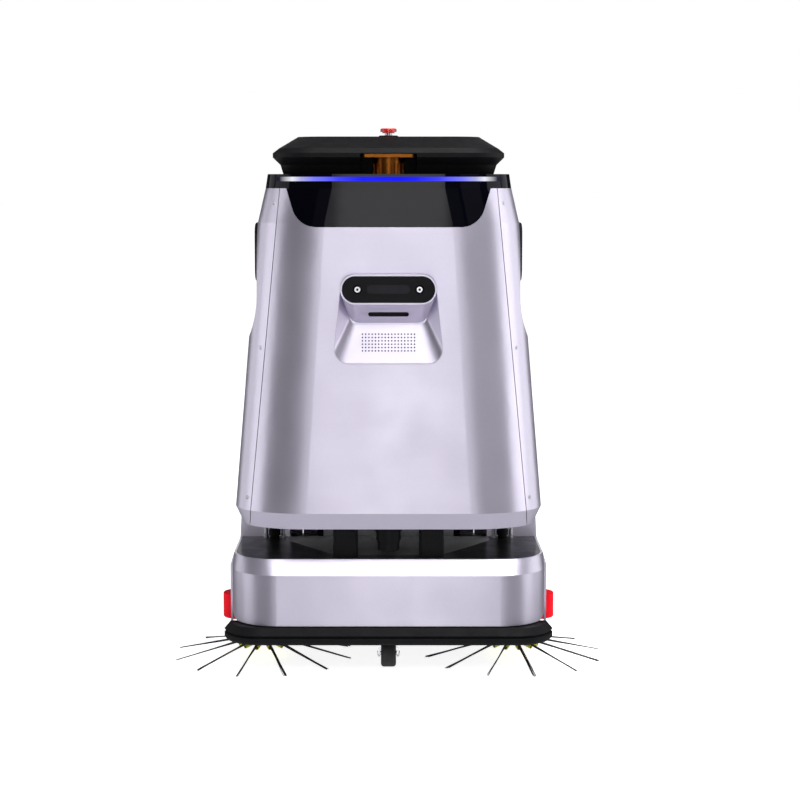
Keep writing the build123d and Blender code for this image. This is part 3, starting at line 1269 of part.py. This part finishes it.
def screen_block(grow, above):
    """Touch screen's block, let into the rear slope."""
    mid_y = (SLOPE_START_Y + HOOD_REAR - 26) / 2
    mid_z = HOOD_TOP_Z - (mid_y - SLOPE_START_Y) * tan(radians(14))
    block = Pos(0, 0, (above - SCREEN_T) / 2 + 1) * Box(
        SCREEN_W + 2 * grow, 130 + 2 * grow, SCREEN_T + above)
    return Pos(0, mid_y, mid_z) * Rot(-14, 0, 0) * block


def make_screen():
    screen = screen_block(0, 0)
    return fillet(screen.edges().filter_by(Axis.Z, tolerance=15), 6.0)


LIDAR_FLANGE_W = 97.0
LIDAR_RIBS = 24


def make_lidar():
    """Anodised scanner: ribbed barrel under a wide flange that bolts into the hood."""
    z0, z1 = RIM_TOP_Z, LIP_Z
    barrel = rod_z(LIDAR_R - 1.6, z0, z1, 0, LIDAR_Y)
    barrel += rod_z(LIDAR_R, z0 + 20, z1, 0, LIDAR_Y)
    for k in range(LIDAR_RIBS):
        rib = slab(-1.6, 1.6, LIDAR_R - 4, LIDAR_R, z0, z0 + 21)
        barrel += Pos(0, LIDAR_Y, 0) * Rot(0, 0, 360 / LIDAR_RIBS * k) * rib
    flange = slab(-LIDAR_FLANGE_W / 2, LIDAR_FLANGE_W / 2, HOOD_FRONT + 3, LIDAR_Y + 40, z1, z1 + 6)
    return barrel + fillet(flange.edges().filter_by(Axis.Z), 5.0)


BUTTON_NECK_R = 11.6


def make_e_stop_base():
    base = rod_z(E_STOP_R + 3, HOOD_TOP_Z - E_STOP_SEAT, HOOD_TOP_Z + 2.5, 0, E_STOP_Y)
    base = chamfer(base.faces().sort_by(Axis.Z)[-1].edges(), 1.2)
    base += rod_z(E_STOP_R - 3.6, HOOD_TOP_Z - 24, HOOD_TOP_Z + 1, 0, E_STOP_Y)
    return base - rod_z(STEM_R + RUNNING, HOOD_TOP_Z - 22, HOOD_TOP_Z + 4, 0, E_STOP_Y)


STEM_R = 7.0
E_STOP_TOP = HOOD_TOP_Z + 16.0


def make_e_stop_stem():
    """Plunger that slides in the base, with a spigot that the head turns on."""
    stem = rod_z(STEM_R, HOOD_TOP_Z - 16, HOOD_TOP_Z + 2.5 + E_STOP_TRAVEL, 0, E_STOP_Y)
    return stem + rod_z(4.0, HOOD_TOP_Z + 2, E_STOP_TOP - 4, 0, E_STOP_Y)


def make_e_stop_head():
    """Red mushroom head with three finger flats."""
    z0 = HOOD_TOP_Z + 2.5 + E_STOP_TRAVEL + 0.4
    neck = rod_z(BUTTON_NECK_R, z0, z0 + 4, 0, E_STOP_Y)
    cap = rod_z(E_STOP_R, z0 + 2.2, E_STOP_TOP, 0, E_STOP_Y)
    cap = fillet(cap.faces().sort_by(Axis.Z)[-1].edges(), 2.4)
    head = neck + cap
    return head - rod_z(4.0 + RUNNING, z0 - 1, E_STOP_TOP - 3.6, 0, E_STOP_Y)


POWER_R = 9.0
POWER_X, POWER_Y = 120.0, 60.0


def make_power_button():
    button = rod_z(POWER_R, HOOD_TOP_Z - 7, HOOD_TOP_Z + 2.2, POWER_X, POWER_Y)
    return chamfer(button.faces().sort_by(Axis.Z)[-1].edges(), 0.8)


# ---------------------------------------------------------------- write every node
LEFT_PHASE = 43.0
RIGHT_PHASE = 70.0


def placed(solid, side):
    return Pos(side * BRUSH_X, BRUSH_Y, 0) * solid


save(make_chassis(), "base_chassis")
save(make_base_shell(), "base_front_shell")
right_skirt = make_skirt()
save(right_skirt, "right_skirt")
save(mirrored(right_skirt), "left_skirt")
save(make_rear_cover(), "rear_lower_cover")
save(make_deck(), "deck_plate")
save(make_center_panel(), "deck_center_panel")
save_group(make_columns() + make_isolators(), "body_support_posts")
save_group(make_posts(), "standoff_posts")
save(make_low_lidar(), "low_lidar")

save(make_tower(), "tower_frame")
save(make_front_cover(), "front_cover")
right_cover = make_side_cover()
save(right_cover, "right_side_cover")
save(mirrored(right_cover), "left_side_cover")
save_group(make_cover_screws(), "cover_screws")
save(make_front_window(), "front_window")
save(make_sensor_housing(), "sensor_housing")
save(make_camera_bezel(), "camera_bezel")
save_group(make_lenses() + [make_camera_window()], "camera_optics")
right_pod = make_side_pod()
save(right_pod, "right_side_pod")
save(mirrored(right_pod), "left_side_pod")
save(make_rear_door(), "rear_door")
save_group(make_hinge(), "door_hinge")

save(make_rim(), "top_rim")
save(make_led(), "led_strip")
save(make_neck(), "hood_neck")
save(make_hood(), "hood_shell")
save(make_screen(), "touch_screen")
save(make_lidar(), "top_lidar")
save(make_e_stop_base(), "e_stop_base")
save(make_e_stop_stem(), "e_stop_stem")
save(make_e_stop_head(), "e_stop_head")
save(make_power_button(), "power_button")

save(make_bumper(), "front_bumper")
save(make_bumper_rail(), "bumper_rail")

for name, side, phase in (("left", -1, -LEFT_PHASE), ("right", 1, RIGHT_PHASE)):
    save(placed(make_brush_hub(phase), side), f"{name}_brush_hub")
    save_group([placed(tuft, side) for tuft in make_tufts(phase)], f"{name}_brush_tufts")
save_group(make_brush_motors(), "side_brush_motors")

save(make_caster_fork(), "caster_fork")
save(make_caster_wheel(), "caster_wheel")
tyre, hub = make_tyre(), make_wheel_hub()
save(tyre, "right_drive_tyre")
save(mirrored(tyre), "left_drive_tyre")
save(hub, "right_drive_hub")
save(mirrored(hub), "left_drive_hub")
save_group(make_drive_motors(), "drive_motors")

guide_roller = make_guide_roller()
save(guide_roller, "right_guide_roller")
save(mirrored(guide_roller), "left_guide_roller")

save(make_roller_housing(), "roller_housing")
save(make_roller(), "scrub_roller")
save(make_squeegee_frame(), "squeegee_frame")
save_group(make_blades(), "squeegee_blades")

save(make_bin(), "waste_bin")
save_group(make_battery(), "battery")
save(make_clean_tank(), "clean_water_tank")
save(make_recovery_tank(), "recovery_tank")
save(make_fan(), "suction_fan")
save(make_controller(), "controller")
save_group(make_contacts(), "charging_contacts")
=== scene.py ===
"""Looks of the floor-cleaning robot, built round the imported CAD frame. Metres, front towards -Y."""

import json
import math
import random

import bmesh
import bpy
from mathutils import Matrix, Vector


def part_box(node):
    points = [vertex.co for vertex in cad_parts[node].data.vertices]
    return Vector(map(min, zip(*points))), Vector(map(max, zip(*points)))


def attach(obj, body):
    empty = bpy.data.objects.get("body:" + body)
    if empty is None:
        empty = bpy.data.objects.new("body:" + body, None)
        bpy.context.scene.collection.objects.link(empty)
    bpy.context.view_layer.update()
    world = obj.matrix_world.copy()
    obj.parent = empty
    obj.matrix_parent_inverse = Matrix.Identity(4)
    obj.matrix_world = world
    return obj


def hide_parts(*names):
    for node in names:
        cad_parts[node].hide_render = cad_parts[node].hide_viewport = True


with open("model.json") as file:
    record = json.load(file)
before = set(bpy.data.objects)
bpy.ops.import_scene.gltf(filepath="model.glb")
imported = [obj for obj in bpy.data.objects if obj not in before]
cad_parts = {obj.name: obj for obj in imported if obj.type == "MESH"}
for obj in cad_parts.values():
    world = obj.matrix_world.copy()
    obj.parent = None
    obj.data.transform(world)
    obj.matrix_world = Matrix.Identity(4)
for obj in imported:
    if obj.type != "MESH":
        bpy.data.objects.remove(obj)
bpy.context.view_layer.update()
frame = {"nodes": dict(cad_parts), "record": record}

NODES = frame["nodes"]
SCENE = bpy.context.scene

# ---------------------------------------------------------------- camera

CAMERA_AT = (0.0, -3.613, 0.917)
CAMERA_PITCH = math.radians(7.0)  # below the horizon
SENSOR = 36.0
LENS = 81.0
SHIFT = 0.0144


def make_camera():
    data = bpy.data.cameras.new("camera")
    data.sensor_width, data.lens, data.shift_x = SENSOR, LENS, SHIFT
    data.clip_start, data.clip_end = 0.05, 60.0
    camera = bpy.data.objects.new("camera", data)
    camera.location = CAMERA_AT
    camera.rotation_euler = (math.pi / 2 - CAMERA_PITCH, 0.0, 0.0)
    SCENE.collection.objects.link(camera)
    SCENE.camera = camera


# ---------------------------------------------------------------- materials

MATERIALS = {}


class Paint:
    """A node tree with short calls for the nodes that the finishes share."""

    def __init__(self, name):
        self.material = bpy.data.materials.new(name)
        self.material.use_nodes = True
        self.tree = self.material.node_tree
        self.shader = self.tree.nodes["Principled BSDF"]
        coords = self.tree.nodes.new("ShaderNodeTexCoord")
        self.place = coords.outputs["Object"]
        MATERIALS[name] = self.material

    def link(self, a, b):
        self.tree.links.new(a, b)

    def set(self, **values):
        for key, value in values.items():
            self.shader.inputs[key.replace("_", " ")].default_value = value

    def noise(self, scale, detail=2.0, rough=0.5, stretch=None):
        node = self.tree.nodes.new("ShaderNodeTexNoise")
        node.inputs["Scale"].default_value = scale
        node.inputs["Detail"].default_value = detail
        node.inputs["Roughness"].default_value = rough
        self.link(self.stretched(stretch) if stretch else self.place, node.inputs["Vector"])
        return node.outputs["Fac"]

    def stretched(self, scale):
        node = self.tree.nodes.new("ShaderNodeMapping")
        node.inputs["Scale"].default_value = scale
        self.link(self.place, node.inputs["Vector"])
        return node.outputs["Vector"]

    def axis(self, name):
        node = self.tree.nodes.new("ShaderNodeSeparateXYZ")
        self.link(self.place, node.inputs["Vector"])
        return node.outputs[name]

    def cells(self, scale):
        node = self.tree.nodes.new("ShaderNodeTexVoronoi")
        node.inputs["Scale"].default_value = scale
        self.link(self.place, node.inputs["Vector"])
        return node.outputs["Color"]

    def ramp(self, fac, *stops):
        node = self.tree.nodes.new("ShaderNodeValToRGB")
        ramp = node.color_ramp
        while len(ramp.elements) < len(stops):
            ramp.elements.new(0.5)
        for element, (at, colour) in zip(ramp.elements, stops):
            element.position = at
            element.color = (*colour, 1.0)
        self.link(fac, node.inputs["Fac"])
        return node.outputs["Color"]

    def span(self, fac, low, high, start=0.3, stop=0.7):
        node = self.tree.nodes.new("ShaderNodeMapRange")
        node.inputs["From Min"].default_value = start
        node.inputs["From Max"].default_value = stop
        node.inputs["To Min"].default_value = low
        node.inputs["To Max"].default_value = high
        self.link(fac, node.inputs["Value"])
        return node.outputs["Result"]

    def bump(self, height, depth):
        node = self.tree.nodes.new("ShaderNodeBump")
        node.inputs["Distance"].default_value = depth
        self.link(height, node.inputs["Height"])
        self.link(node.outputs["Normal"], self.shader.inputs["Normal"])

    def colour(self, socket):
        self.link(socket, self.shader.inputs["Base Color"])

    def rough(self, socket):
        self.link(socket, self.shader.inputs["Roughness"])


def shade(colour, factor):
    return tuple(min(1.0, c * factor) for c in colour)


def moulded(name, colour, rough=0.45, grain=1400.0, depth=0.00006, spread=0.12, patch=9.0, **more):
    """Moulded plastic or rubber: fine grain, slightly uneven tone and roughness."""
    p = Paint(name)
    dark, light = shade(colour, 1 - spread), shade(colour, 1 + spread)
    p.colour(p.ramp(p.noise(patch, 4.0), (0.3, dark), (0.7, light)))
    p.rough(p.span(p.noise(patch * 4, 3.0), rough - 0.05, rough + 0.07))
    p.bump(p.noise(grain, 2.0), depth)
    p.set(**more)
    return p


def metal(name, colour, rough=0.3, streak=(1.0, 1.0, 60.0), grain=220.0, depth=0.00002, **more):
    """Metal with a fine directional grain."""
    p = Paint(name)
    p.set(Metallic=1.0)
    lay = p.noise(grain, 3.0, 0.6, streak)
    p.colour(p.ramp(lay, (0.25, shade(colour, 0.86)), (0.75, shade(colour, 1.1))))
    p.rough(p.span(lay, rough - 0.06, rough + 0.09))
    p.bump(lay, depth)
    p.set(**more)
    return p


def make_materials():
    # pearl lavender paint: fine flake under a satin clear coat, with faint orange peel
    p = Paint("body_paint")
    flake = p.cells(2600.0)
    tone = p.ramp(flake, (0.0, (0.60, 0.565, 0.685)), (1.0, (0.70, 0.66, 0.795)))
    p.colour(tone)
    p.rough(p.span(p.noise(14.0, 3.0), 0.33, 0.38))
    p.bump(p.noise(380.0, 1.0), 0.00001)
    p.set(Metallic=0.92, Coat_Weight=0.3, Coat_Roughness=0.12, Coat_IOR=1.5)

    moulded("black_plastic", (0.005, 0.005, 0.006), 0.5, 1500.0, Specular_IOR_Level=0.12)
    moulded("deck_black", (0.012, 0.012, 0.013), 0.36, 900.0, Coat_Weight=0.15)
    moulded("bumper_rubber", (0.005, 0.005, 0.006), 0.55, 800.0, 0.0001, Specular_IOR_Level=0.14)
    moulded("tyre_rubber", (0.016, 0.016, 0.016), 0.7, 600.0, 0.00015)
    moulded("guide_red", (0.72, 0.003, 0.014), 0.55, 500.0, 0.00005, Specular_IOR_Level=0.06)
    moulded("stop_red", (0.75, 0.012, 0.01), 0.18, 300.0, 0.00001, 0.06, Coat_Weight=0.6)
    moulded("hub_yellow", (0.36, 0.37, 0.012), 0.4, 700.0)
    moulded("roller_blue", (0.03, 0.09, 0.28), 0.6, 900.0)
    moulded("blade_rubber", (0.22, 0.08, 0.025), 0.55, 500.0)
    moulded("tank_white", (0.72, 0.73, 0.72), 0.4, 400.0, Transmission_Weight=0.12)
    moulded("tank_grey", (0.32, 0.33, 0.35), 0.4, 400.0)
    moulded("motor_black", (0.025, 0.025, 0.027), 0.38, 700.0)
    moulded("bristle", (0.012, 0.012, 0.012), 0.42, 400.0, 0.00002)
    moulded("chassis_steel", (0.035, 0.035, 0.038), 0.45, 1200.0, 0.0001)

    # the deck's middle panel: painted shade at the front, fading to a painted reflection of light at the
    # rear
    p = Paint("deck_grey")
    depth = p.span(p.axis("Y"), 0.0, 1.0, -0.30, -0.09)
    p.colour(p.ramp(
        depth,
        (0.0, (0.08, 0.08, 0.082)),
        (0.45, (0.30, 0.30, 0.305)),
        (1.0, (0.85, 0.85, 0.86)),
    ))
    p.rough(p.span(p.noise(30.0, 3.0), 0.36, 0.44))
    p.bump(p.noise(900.0, 2.0), 0.00005)

    p = Paint("gloss_black")
    p.colour(p.ramp(p.noise(5.0, 2.0), (0.3, (0.0006, 0.0006, 0.002)), (0.7, (0.001, 0.001, 0.003))))
    p.rough(p.span(p.noise(30.0, 4.0), 0.03, 0.07))
    p.set(IOR=1.26)

    p = Paint("screen_glass")
    p.colour(p.ramp(p.noise(6.0, 2.0), (0.3, (0.004, 0.004, 0.005)), (0.7, (0.007, 0.007, 0.009))))
    p.rough(p.span(p.noise(40.0, 4.0), 0.03, 0.09))
    p.set(Coat_Weight=0.8, Coat_Roughness=0.02)

    p = Paint("lens_glass")
    p.colour(p.ramp(p.noise(60.0, 2.0), (0.3, (0.002, 0.002, 0.004)), (0.7, (0.005, 0.004, 0.01))))
    p.rough(p.span(p.noise(90.0, 2.0), 0.02, 0.05))
    p.set(IOR=1.16)

    metal("orange_alloy", (0.26, 0.085, 0.014), 0.34)
    metal("steel", (0.6, 0.6, 0.62), 0.25)
    metal("frame_alloy", (0.52, 0.52, 0.54), 0.35)
    metal("brass", (0.72, 0.5, 0.18), 0.25)

    # light strip: blue in the middle, paler to white towards its ends, dark beyond
    p = Paint("led_blue")
    across = p.tree.nodes.new("ShaderNodeMath")
    across.operation = "ABSOLUTE"
    p.link(p.axis("X"), across.inputs[0])
    share = p.span(across.outputs[0], 0.0, 1.0, 0.0, 0.2)
    glow = p.ramp(
        share,
        (0.0, (0.0, 0.0, 1.0)),
        (0.24, (0.0, 0.0, 1.0)),
        (0.46, (0.045, 0.045, 1.0)),
        (0.68, (0.20, 0.20, 1.0)),
        (0.80, (0.42, 0.42, 0.75)),
        (0.88, (0.85, 0.85, 0.92)),
        (1.0, (0.0, 0.0, 0.0)),
    )
    p.link(glow, p.shader.inputs["Emission Color"])
    p.colour(p.ramp(p.noise(20.0), (0.3, (0.01, 0.01, 0.02)), (0.7, (0.015, 0.015, 0.03))))
    p.set(Emission_Strength=1.0, Roughness=0.6, Specular_IOR_Level=0.0)


def dress_nodes():
    """Every CAD node takes the finish of its slot in the record."""
    finishes = {m["slot"]: MATERIALS[m["slot"]] for m in frame["record"]["materials"]}
    for node in NODES.values():
        data = node.data
        for i, old in enumerate(data.materials):
            data.materials[i] = finishes[old.name]


# ---------------------------------------------------------------- small pieces


def add_piece(name, bm, body, slot, smooth=True):
    """A mesh of its own that moves with a CAD body and takes the finish of one slot."""
    mesh = bpy.data.meshes.new(name)
    bm.to_mesh(mesh)
    bm.free()
    for face in mesh.polygons:
        face.use_smooth = smooth
    mesh.materials.append(MATERIALS[slot])
    piece = bpy.data.objects.new(name, mesh)
    SCENE.collection.objects.link(piece)
    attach(piece, body)
    return piece


def add_tube(bm, points, radii, sides=6):
    """Closed round tube through points."""
    rings = []
    for i, (point, radius) in enumerate(zip(points, radii)):
        along = (points[min(i + 1, len(points) - 1)] - points[max(i - 1, 0)]).normalized()
        a = along.cross(Vector((0, 0, 1))).normalized()
        b = along.cross(a)
        turns = [2 * math.pi * k / sides for k in range(sides)]
        rings.append([bm.verts.new(point + radius * (math.cos(t) * a + math.sin(t) * b)) for t in turns])
    for low, high in zip(rings, rings[1:]):
        for k in range(sides):
            bm.faces.new((low[k], low[(k + 1) % sides], high[(k + 1) % sides], high[k]))
    bm.faces.new(rings[0])
    bm.faces.new(reversed(rings[-1]))


TUFTS = 12
BRUSH_PHASES = (("left", -43.0), ("right", 70.0))
TUFT_ROOT = (0.030, 0.034)    # distance from the brush axis, height
TUFT_TIP = (0.1745, 0.0022)
FILAMENTS = 8
FILAMENT_STEPS = 6


def make_bristles():
    """Each tuft is a bundle of filaments that leave the sleeve together and open a little at the tip."""
    dice = random.Random(4)
    for side, phase in BRUSH_PHASES:
        low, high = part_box(side + "_brush_hub")
        cx, cy = (low[0] + high[0]) / 2, (low[1] + high[1]) / 2
        bm = bmesh.new()
        for k in range(TUFTS):
            turn = math.radians(phase + 360.0 * k / TUFTS)
            out = Vector((math.sin(turn), -math.cos(turn), 0.0))
            across = Vector((out.y, -out.x, 0.0))
            for f in range(FILAMENTS):
                spin = 2 * math.pi * f / FILAMENTS
                root = Vector((math.cos(spin), math.sin(spin))) * (0.0022 if f % 2 else 0.0010)
                tip = Vector((dice.uniform(-1.0, 1.0) * 0.0034, dice.uniform(-0.2, 1.0) * 0.0012))
                reach = TUFT_TIP[0] - dice.uniform(0.0, 0.007)
                points, radii = [], []
                for i in range(FILAMENT_STEPS + 1):
                    t = i / FILAMENT_STEPS
                    r = TUFT_ROOT[0] + (reach - TUFT_ROOT[0]) * t
                    z = TUFT_ROOT[1] + (TUFT_TIP[1] - TUFT_ROOT[1]) * t
                    off = root.lerp(tip, t)
                    points.append(Vector((cx, cy, z + off.y)) + out * r + across * off.x)
                    radii.append(0.00085 - 0.0003 * t)
                add_tube(bm, points, radii)
        tufts = add_piece(side + "_bristles", bm, side + "_brush", "bristle")
        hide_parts(side + "_brush_tufts")


def add_disc(bm, centre, radius, inner=0.0, segments=24):
    """Flat disc or ring that faces the front."""
    turns = [2 * math.pi * k / segments for k in range(segments)]

    def ring(r):
        return [bm.verts.new(centre + Vector((r * math.cos(t), 0.0, r * math.sin(t)))) for t in turns]

    outer = ring(radius)
    if not inner:
        bm.faces.new(outer)
        return
    inside = ring(inner)
    for k in range(segments):
        n = (k + 1) % segments
        bm.faces.new((outer[k], outer[n], inside[n], inside[k]))


def depth_at(node, x, z):
    """Where a line from the front meets a CAD node, as y."""
    place = node.matrix_world.inverted()
    start = place @ Vector((x, -1.0, z))
    hit, at, _, _ = node.ray_cast(start, (place.to_3x3() @ Vector((0, 1, 0))).normalized())
    return (node.matrix_world @ at).y if hit else None


LIP_IN, LIP_OUT = 0.046, 0.011     # the bumper lip's edges, in from the bumper's outline
LIP_Z = (0.0832, 0.0857)
LIP_END_Y = -0.283
LIP_STEPS = 12
BUMPER_CORNER = 0.072


def make_bumper_lip():
    """Flat rubber lip that closes the view between the bumper and the base."""
    low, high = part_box("front_bumper")
    bend = [math.pi / 2 * k / LIP_STEPS for k in range(LIP_STEPS + 1)]
    outline = []
    for inset in (LIP_OUT, LIP_IN):
        half, radius = high[0] - inset, BUMPER_CORNER - inset
        cx, cy = radius - half, low[1] + BUMPER_CORNER
        left = [(cx - radius * math.cos(t), cy - radius * math.sin(t)) for t in bend]
        right = [(-x, y) for x, y in reversed(left)]
        outline.append([(-half, LIP_END_Y)] + left + right + [(half, LIP_END_Y)])
    bm = bmesh.new()
    rows = [[bm.verts.new((x, y, z)) for x, y in line] for z in LIP_Z for line in outline]
    out_low, in_low, out_high, in_high = rows
    for a, b in ((out_high, in_high), (in_low, out_low), (out_low, out_high), (in_high, in_low)):
        for k in range(len(a) - 1):
            bm.faces.new((a[k], a[k + 1], b[k + 1], b[k]))
    for k in (0, -1):
        bm.faces.new((out_low[k], out_high[k], in_high[k], in_low[k]))
    bmesh.ops.recalc_face_normals(bm, faces=bm.faces)
    add_piece("bumper_lip", bm, "bumper", "bumper_rubber", False)


LENS_X, NOSE_Z = 0.0565, 0.718
RING_R, PUPIL_R, RING_BORE_R = 0.0052, 0.0025, 0.0024
HOLE_R = 0.00143
SPEAKER_Z, SPEAKER_PITCH = 0.618, 0.006
SPEAKER_COLS, SPEAKER_ROWS = 17, 6
SLOT_Z, SLOT_HALF, SLOT_TALL = 0.671, 0.0375, 0.009


def make_front_details():
    """Lens rings, dark cloth behind the speaker holes, and a black plate in the slot that is painted
    shade for its dark inside.
    """
    housing = NODES["sensor_housing"]
    rings, pupils = bmesh.new(), bmesh.new()
    for side in (-1, 1):
        y = depth_at(NODES["camera_optics"], side * LENS_X, NOSE_Z)
        add_disc(rings, Vector((side * LENS_X, y - 0.0004, NOSE_Z)), RING_R, RING_BORE_R)
        add_disc(pupils, Vector((side * LENS_X, y - 0.0002, NOSE_Z)), PUPIL_R)
    add_piece("lens_rings", rings, "chassis", "steel", False)
    add_piece("lens_pupils", pupils, "chassis", "gloss_black", False)
    cloth = bmesh.new()
    for row in range(SPEAKER_ROWS):
        z = SPEAKER_Z + (row - (SPEAKER_ROWS - 1) / 2) * SPEAKER_PITCH
        y = depth_at(housing, (SPEAKER_COLS + 1) / 2 * SPEAKER_PITCH, z)
        for col in range(SPEAKER_COLS):
            x = (col - (SPEAKER_COLS - 1) / 2) * SPEAKER_PITCH
            add_disc(cloth, Vector((x, y + 0.0004, z)), HOLE_R, segments=12)
    add_piece("speaker_cloth", cloth, "chassis", "black_plastic", False)
    # the black plate just inside the slot is painted shade: it stands in for the slot's dark, shaded
    # inside
    y = depth_at(housing, 0.0, SLOT_Z - 0.6 * SLOT_TALL)
    shade_plate = bmesh.new()
    bmesh.ops.create_cube(shade_plate, size=1.0)
    bmesh.ops.scale(shade_plate, vec=(2 * SLOT_HALF - 0.0004, 0.006, SLOT_TALL - 0.0004), verts=shade_plate.verts)
    bmesh.ops.translate(shade_plate, vec=(0, y + 0.005, SLOT_Z), verts=shade_plate.verts)
    add_piece("slot_insert", shade_plate, "chassis", "black_plastic", False)


# ---------------------------------------------------------------- studio


def panel(name, centre, aim, size, radiance):
    """A soft box: an area light that the camera doesn't see."""
    data = bpy.data.lights.new(name, "AREA")
    data.shape = "RECTANGLE"
    data.size, data.size_y = size
    data.energy = radiance * math.pi * size[0] * size[1]
    lamp = bpy.data.objects.new(name, data)
    lamp.location = centre
    lamp.rotation_euler = (Vector(aim) - Vector(centre)).to_track_quat("-Z", "Y").to_euler()
    lamp.visible_camera = False
    SCENE.collection.objects.link(lamp)


# how bright the studio is, from straight down (0) to straight up (1)
STUDIO_LEVELS = ((0.0, 0.62), (0.2, 0.62), (0.38, 0.08), (0.55, 0.035), (0.8, 0.1), (1.0, 0.25))


def make_world():
    """White behind the object; for light, a dim studio that is paler below and above."""
    world = bpy.data.worlds.new("studio")
    world.use_nodes = True
    SCENE.world = world
    tree = world.node_tree
    dim = tree.nodes["Background"]
    place = tree.nodes.new("ShaderNodeTexCoord")
    split = tree.nodes.new("ShaderNodeSeparateXYZ")
    tree.links.new(place.outputs["Generated"], split.inputs["Vector"])
    height = tree.nodes.new("ShaderNodeMapRange")
    height.inputs["From Min"].default_value = -1.0
    height.inputs["From Max"].default_value = 1.0
    tree.links.new(split.outputs["Z"], height.inputs["Value"])
    ramp = tree.nodes.new("ShaderNodeValToRGB")
    while len(ramp.color_ramp.elements) < len(STUDIO_LEVELS):
        ramp.color_ramp.elements.new(0.5)
    for element, (at, level) in zip(ramp.color_ramp.elements, STUDIO_LEVELS):
        element.position = at
        element.color = (level, level, level * 1.03, 1.0)
    tree.links.new(height.outputs["Result"], ramp.inputs["Fac"])
    tree.links.new(ramp.outputs["Color"], dim.inputs["Color"])
    white = tree.nodes.new("ShaderNodeBackground")
    white.inputs["Color"].default_value = (1, 1, 1, 1)
    mix = tree.nodes.new("ShaderNodeMixShader")
    path = tree.nodes.new("ShaderNodeLightPath")
    tree.links.new(path.outputs["Is Camera Ray"], mix.inputs["Fac"])
    tree.links.new(dim.outputs[0], mix.inputs[1])
    tree.links.new(white.outputs[0], mix.inputs[2])
    tree.links.new(mix.outputs[0], tree.nodes["World Output"].inputs["Surface"])


FLOOR_HALF = 60.0
FLOOR_FADE = (0.6, 4.5)    # distances from the machine over which the floor turns white


def make_floor():
    """Pale floor that fades into the white background."""
    half = FLOOR_HALF
    mesh = bpy.data.meshes.new("floor")
    mesh.from_pydata([(-half, -half, 0), (half, -half, 0), (half, half, 0), (-half, half, 0)],
                     [], [(0, 1, 2, 3)])
    floor = bpy.data.objects.new("floor", mesh)
    floor.visible_glossy = False
    floor.visible_shadow = False
    SCENE.collection.objects.link(floor)
    p = Paint("floor_pale")
    p.colour(p.ramp(p.noise(2.0, 3.0), (0.3, (0.80, 0.80, 0.80)), (0.7, (0.83, 0.83, 0.83))))
    reach = p.tree.nodes.new("ShaderNodeVectorMath")
    reach.operation = "LENGTH"
    p.link(p.place, reach.inputs[0])
    fade = p.span(reach.outputs["Value"], 0.0, 1.0, *FLOOR_FADE)
    glow = p.ramp(fade, (0.0, (0.86, 0.86, 0.865)), (1.0, (1, 1, 1)))
    p.link(glow, p.shader.inputs["Emission Color"])
    p.set(Roughness=0.9, Emission_Strength=1.0)
    mesh.materials.append(MATERIALS["floor_pale"])


# soft boxes: name, centre, what it faces, width and height, radiance
PANELS = (
    ("front_upper", (0.015, -4.6, 1.55), (0.015, 0, 1.55), (0.46, 2.2), 2.2),
    ("front_lower", (0.015, -4.6, -0.57), (0.015, 0, -0.57), (0.46, 2.04), 1.9),
    ("front_wide_upper", (0.015, -4.7, 1.55), (0.015, 0, 1.55), (0.70, 2.2), 1.35),
    ("front_wide_lower", (0.015, -4.7, -0.57), (0.015, 0, -0.57), (0.70, 2.04), 1.35),
    ("front_fill", (0, -4.9, 0.6), (0, 0, 0.6), (3.0, 3.4), 0.12),
    ("front_top_box", (0, -2.9, 2.6), (0, -0.3, 0.6), (1.9, 1.2), 2.6),
    ("top_box", (0.55, -0.6, 3.0), (0.1, -0.3, 0), (2.0, 1.8), 5.6),
    ("left_box", (-2.6, -0.70, 0.6), (0, -0.2, 0.6), (1.6, 2.0), 1.25),
    ("left_tail", (-2.6, 0.95, 0.6), (0, 0, 0.6), (1.3, 2.0), 0.8),
    ("right_box", (2.57, -0.80, 0.8), (0, -0.2, 0.6), (1.5, 2.4), 1.75),
    ("right_tail", (2.6, 0.75, 0.8), (0, 0, 0.6), (1.3, 2.4), 1.2),
    ("right_fill", (1.9, -2.9, 0.8), (0, 0, 0.6), (1.5, 2.4), 0.27),
    ("back_box", (0, 4.4, 1.3), (0, 0, 0.9), (1.6, 2.4), 1.2),
)


def make_studio():
    SCENE.view_settings.view_transform = "Standard"
    SCENE.view_settings.look = "None"
    make_world()
    make_floor()
    for row in PANELS:
        panel(*row)


make_camera()
make_materials()
dress_nodes()
make_bristles()
make_bumper_lip()
make_front_details()
make_studio()
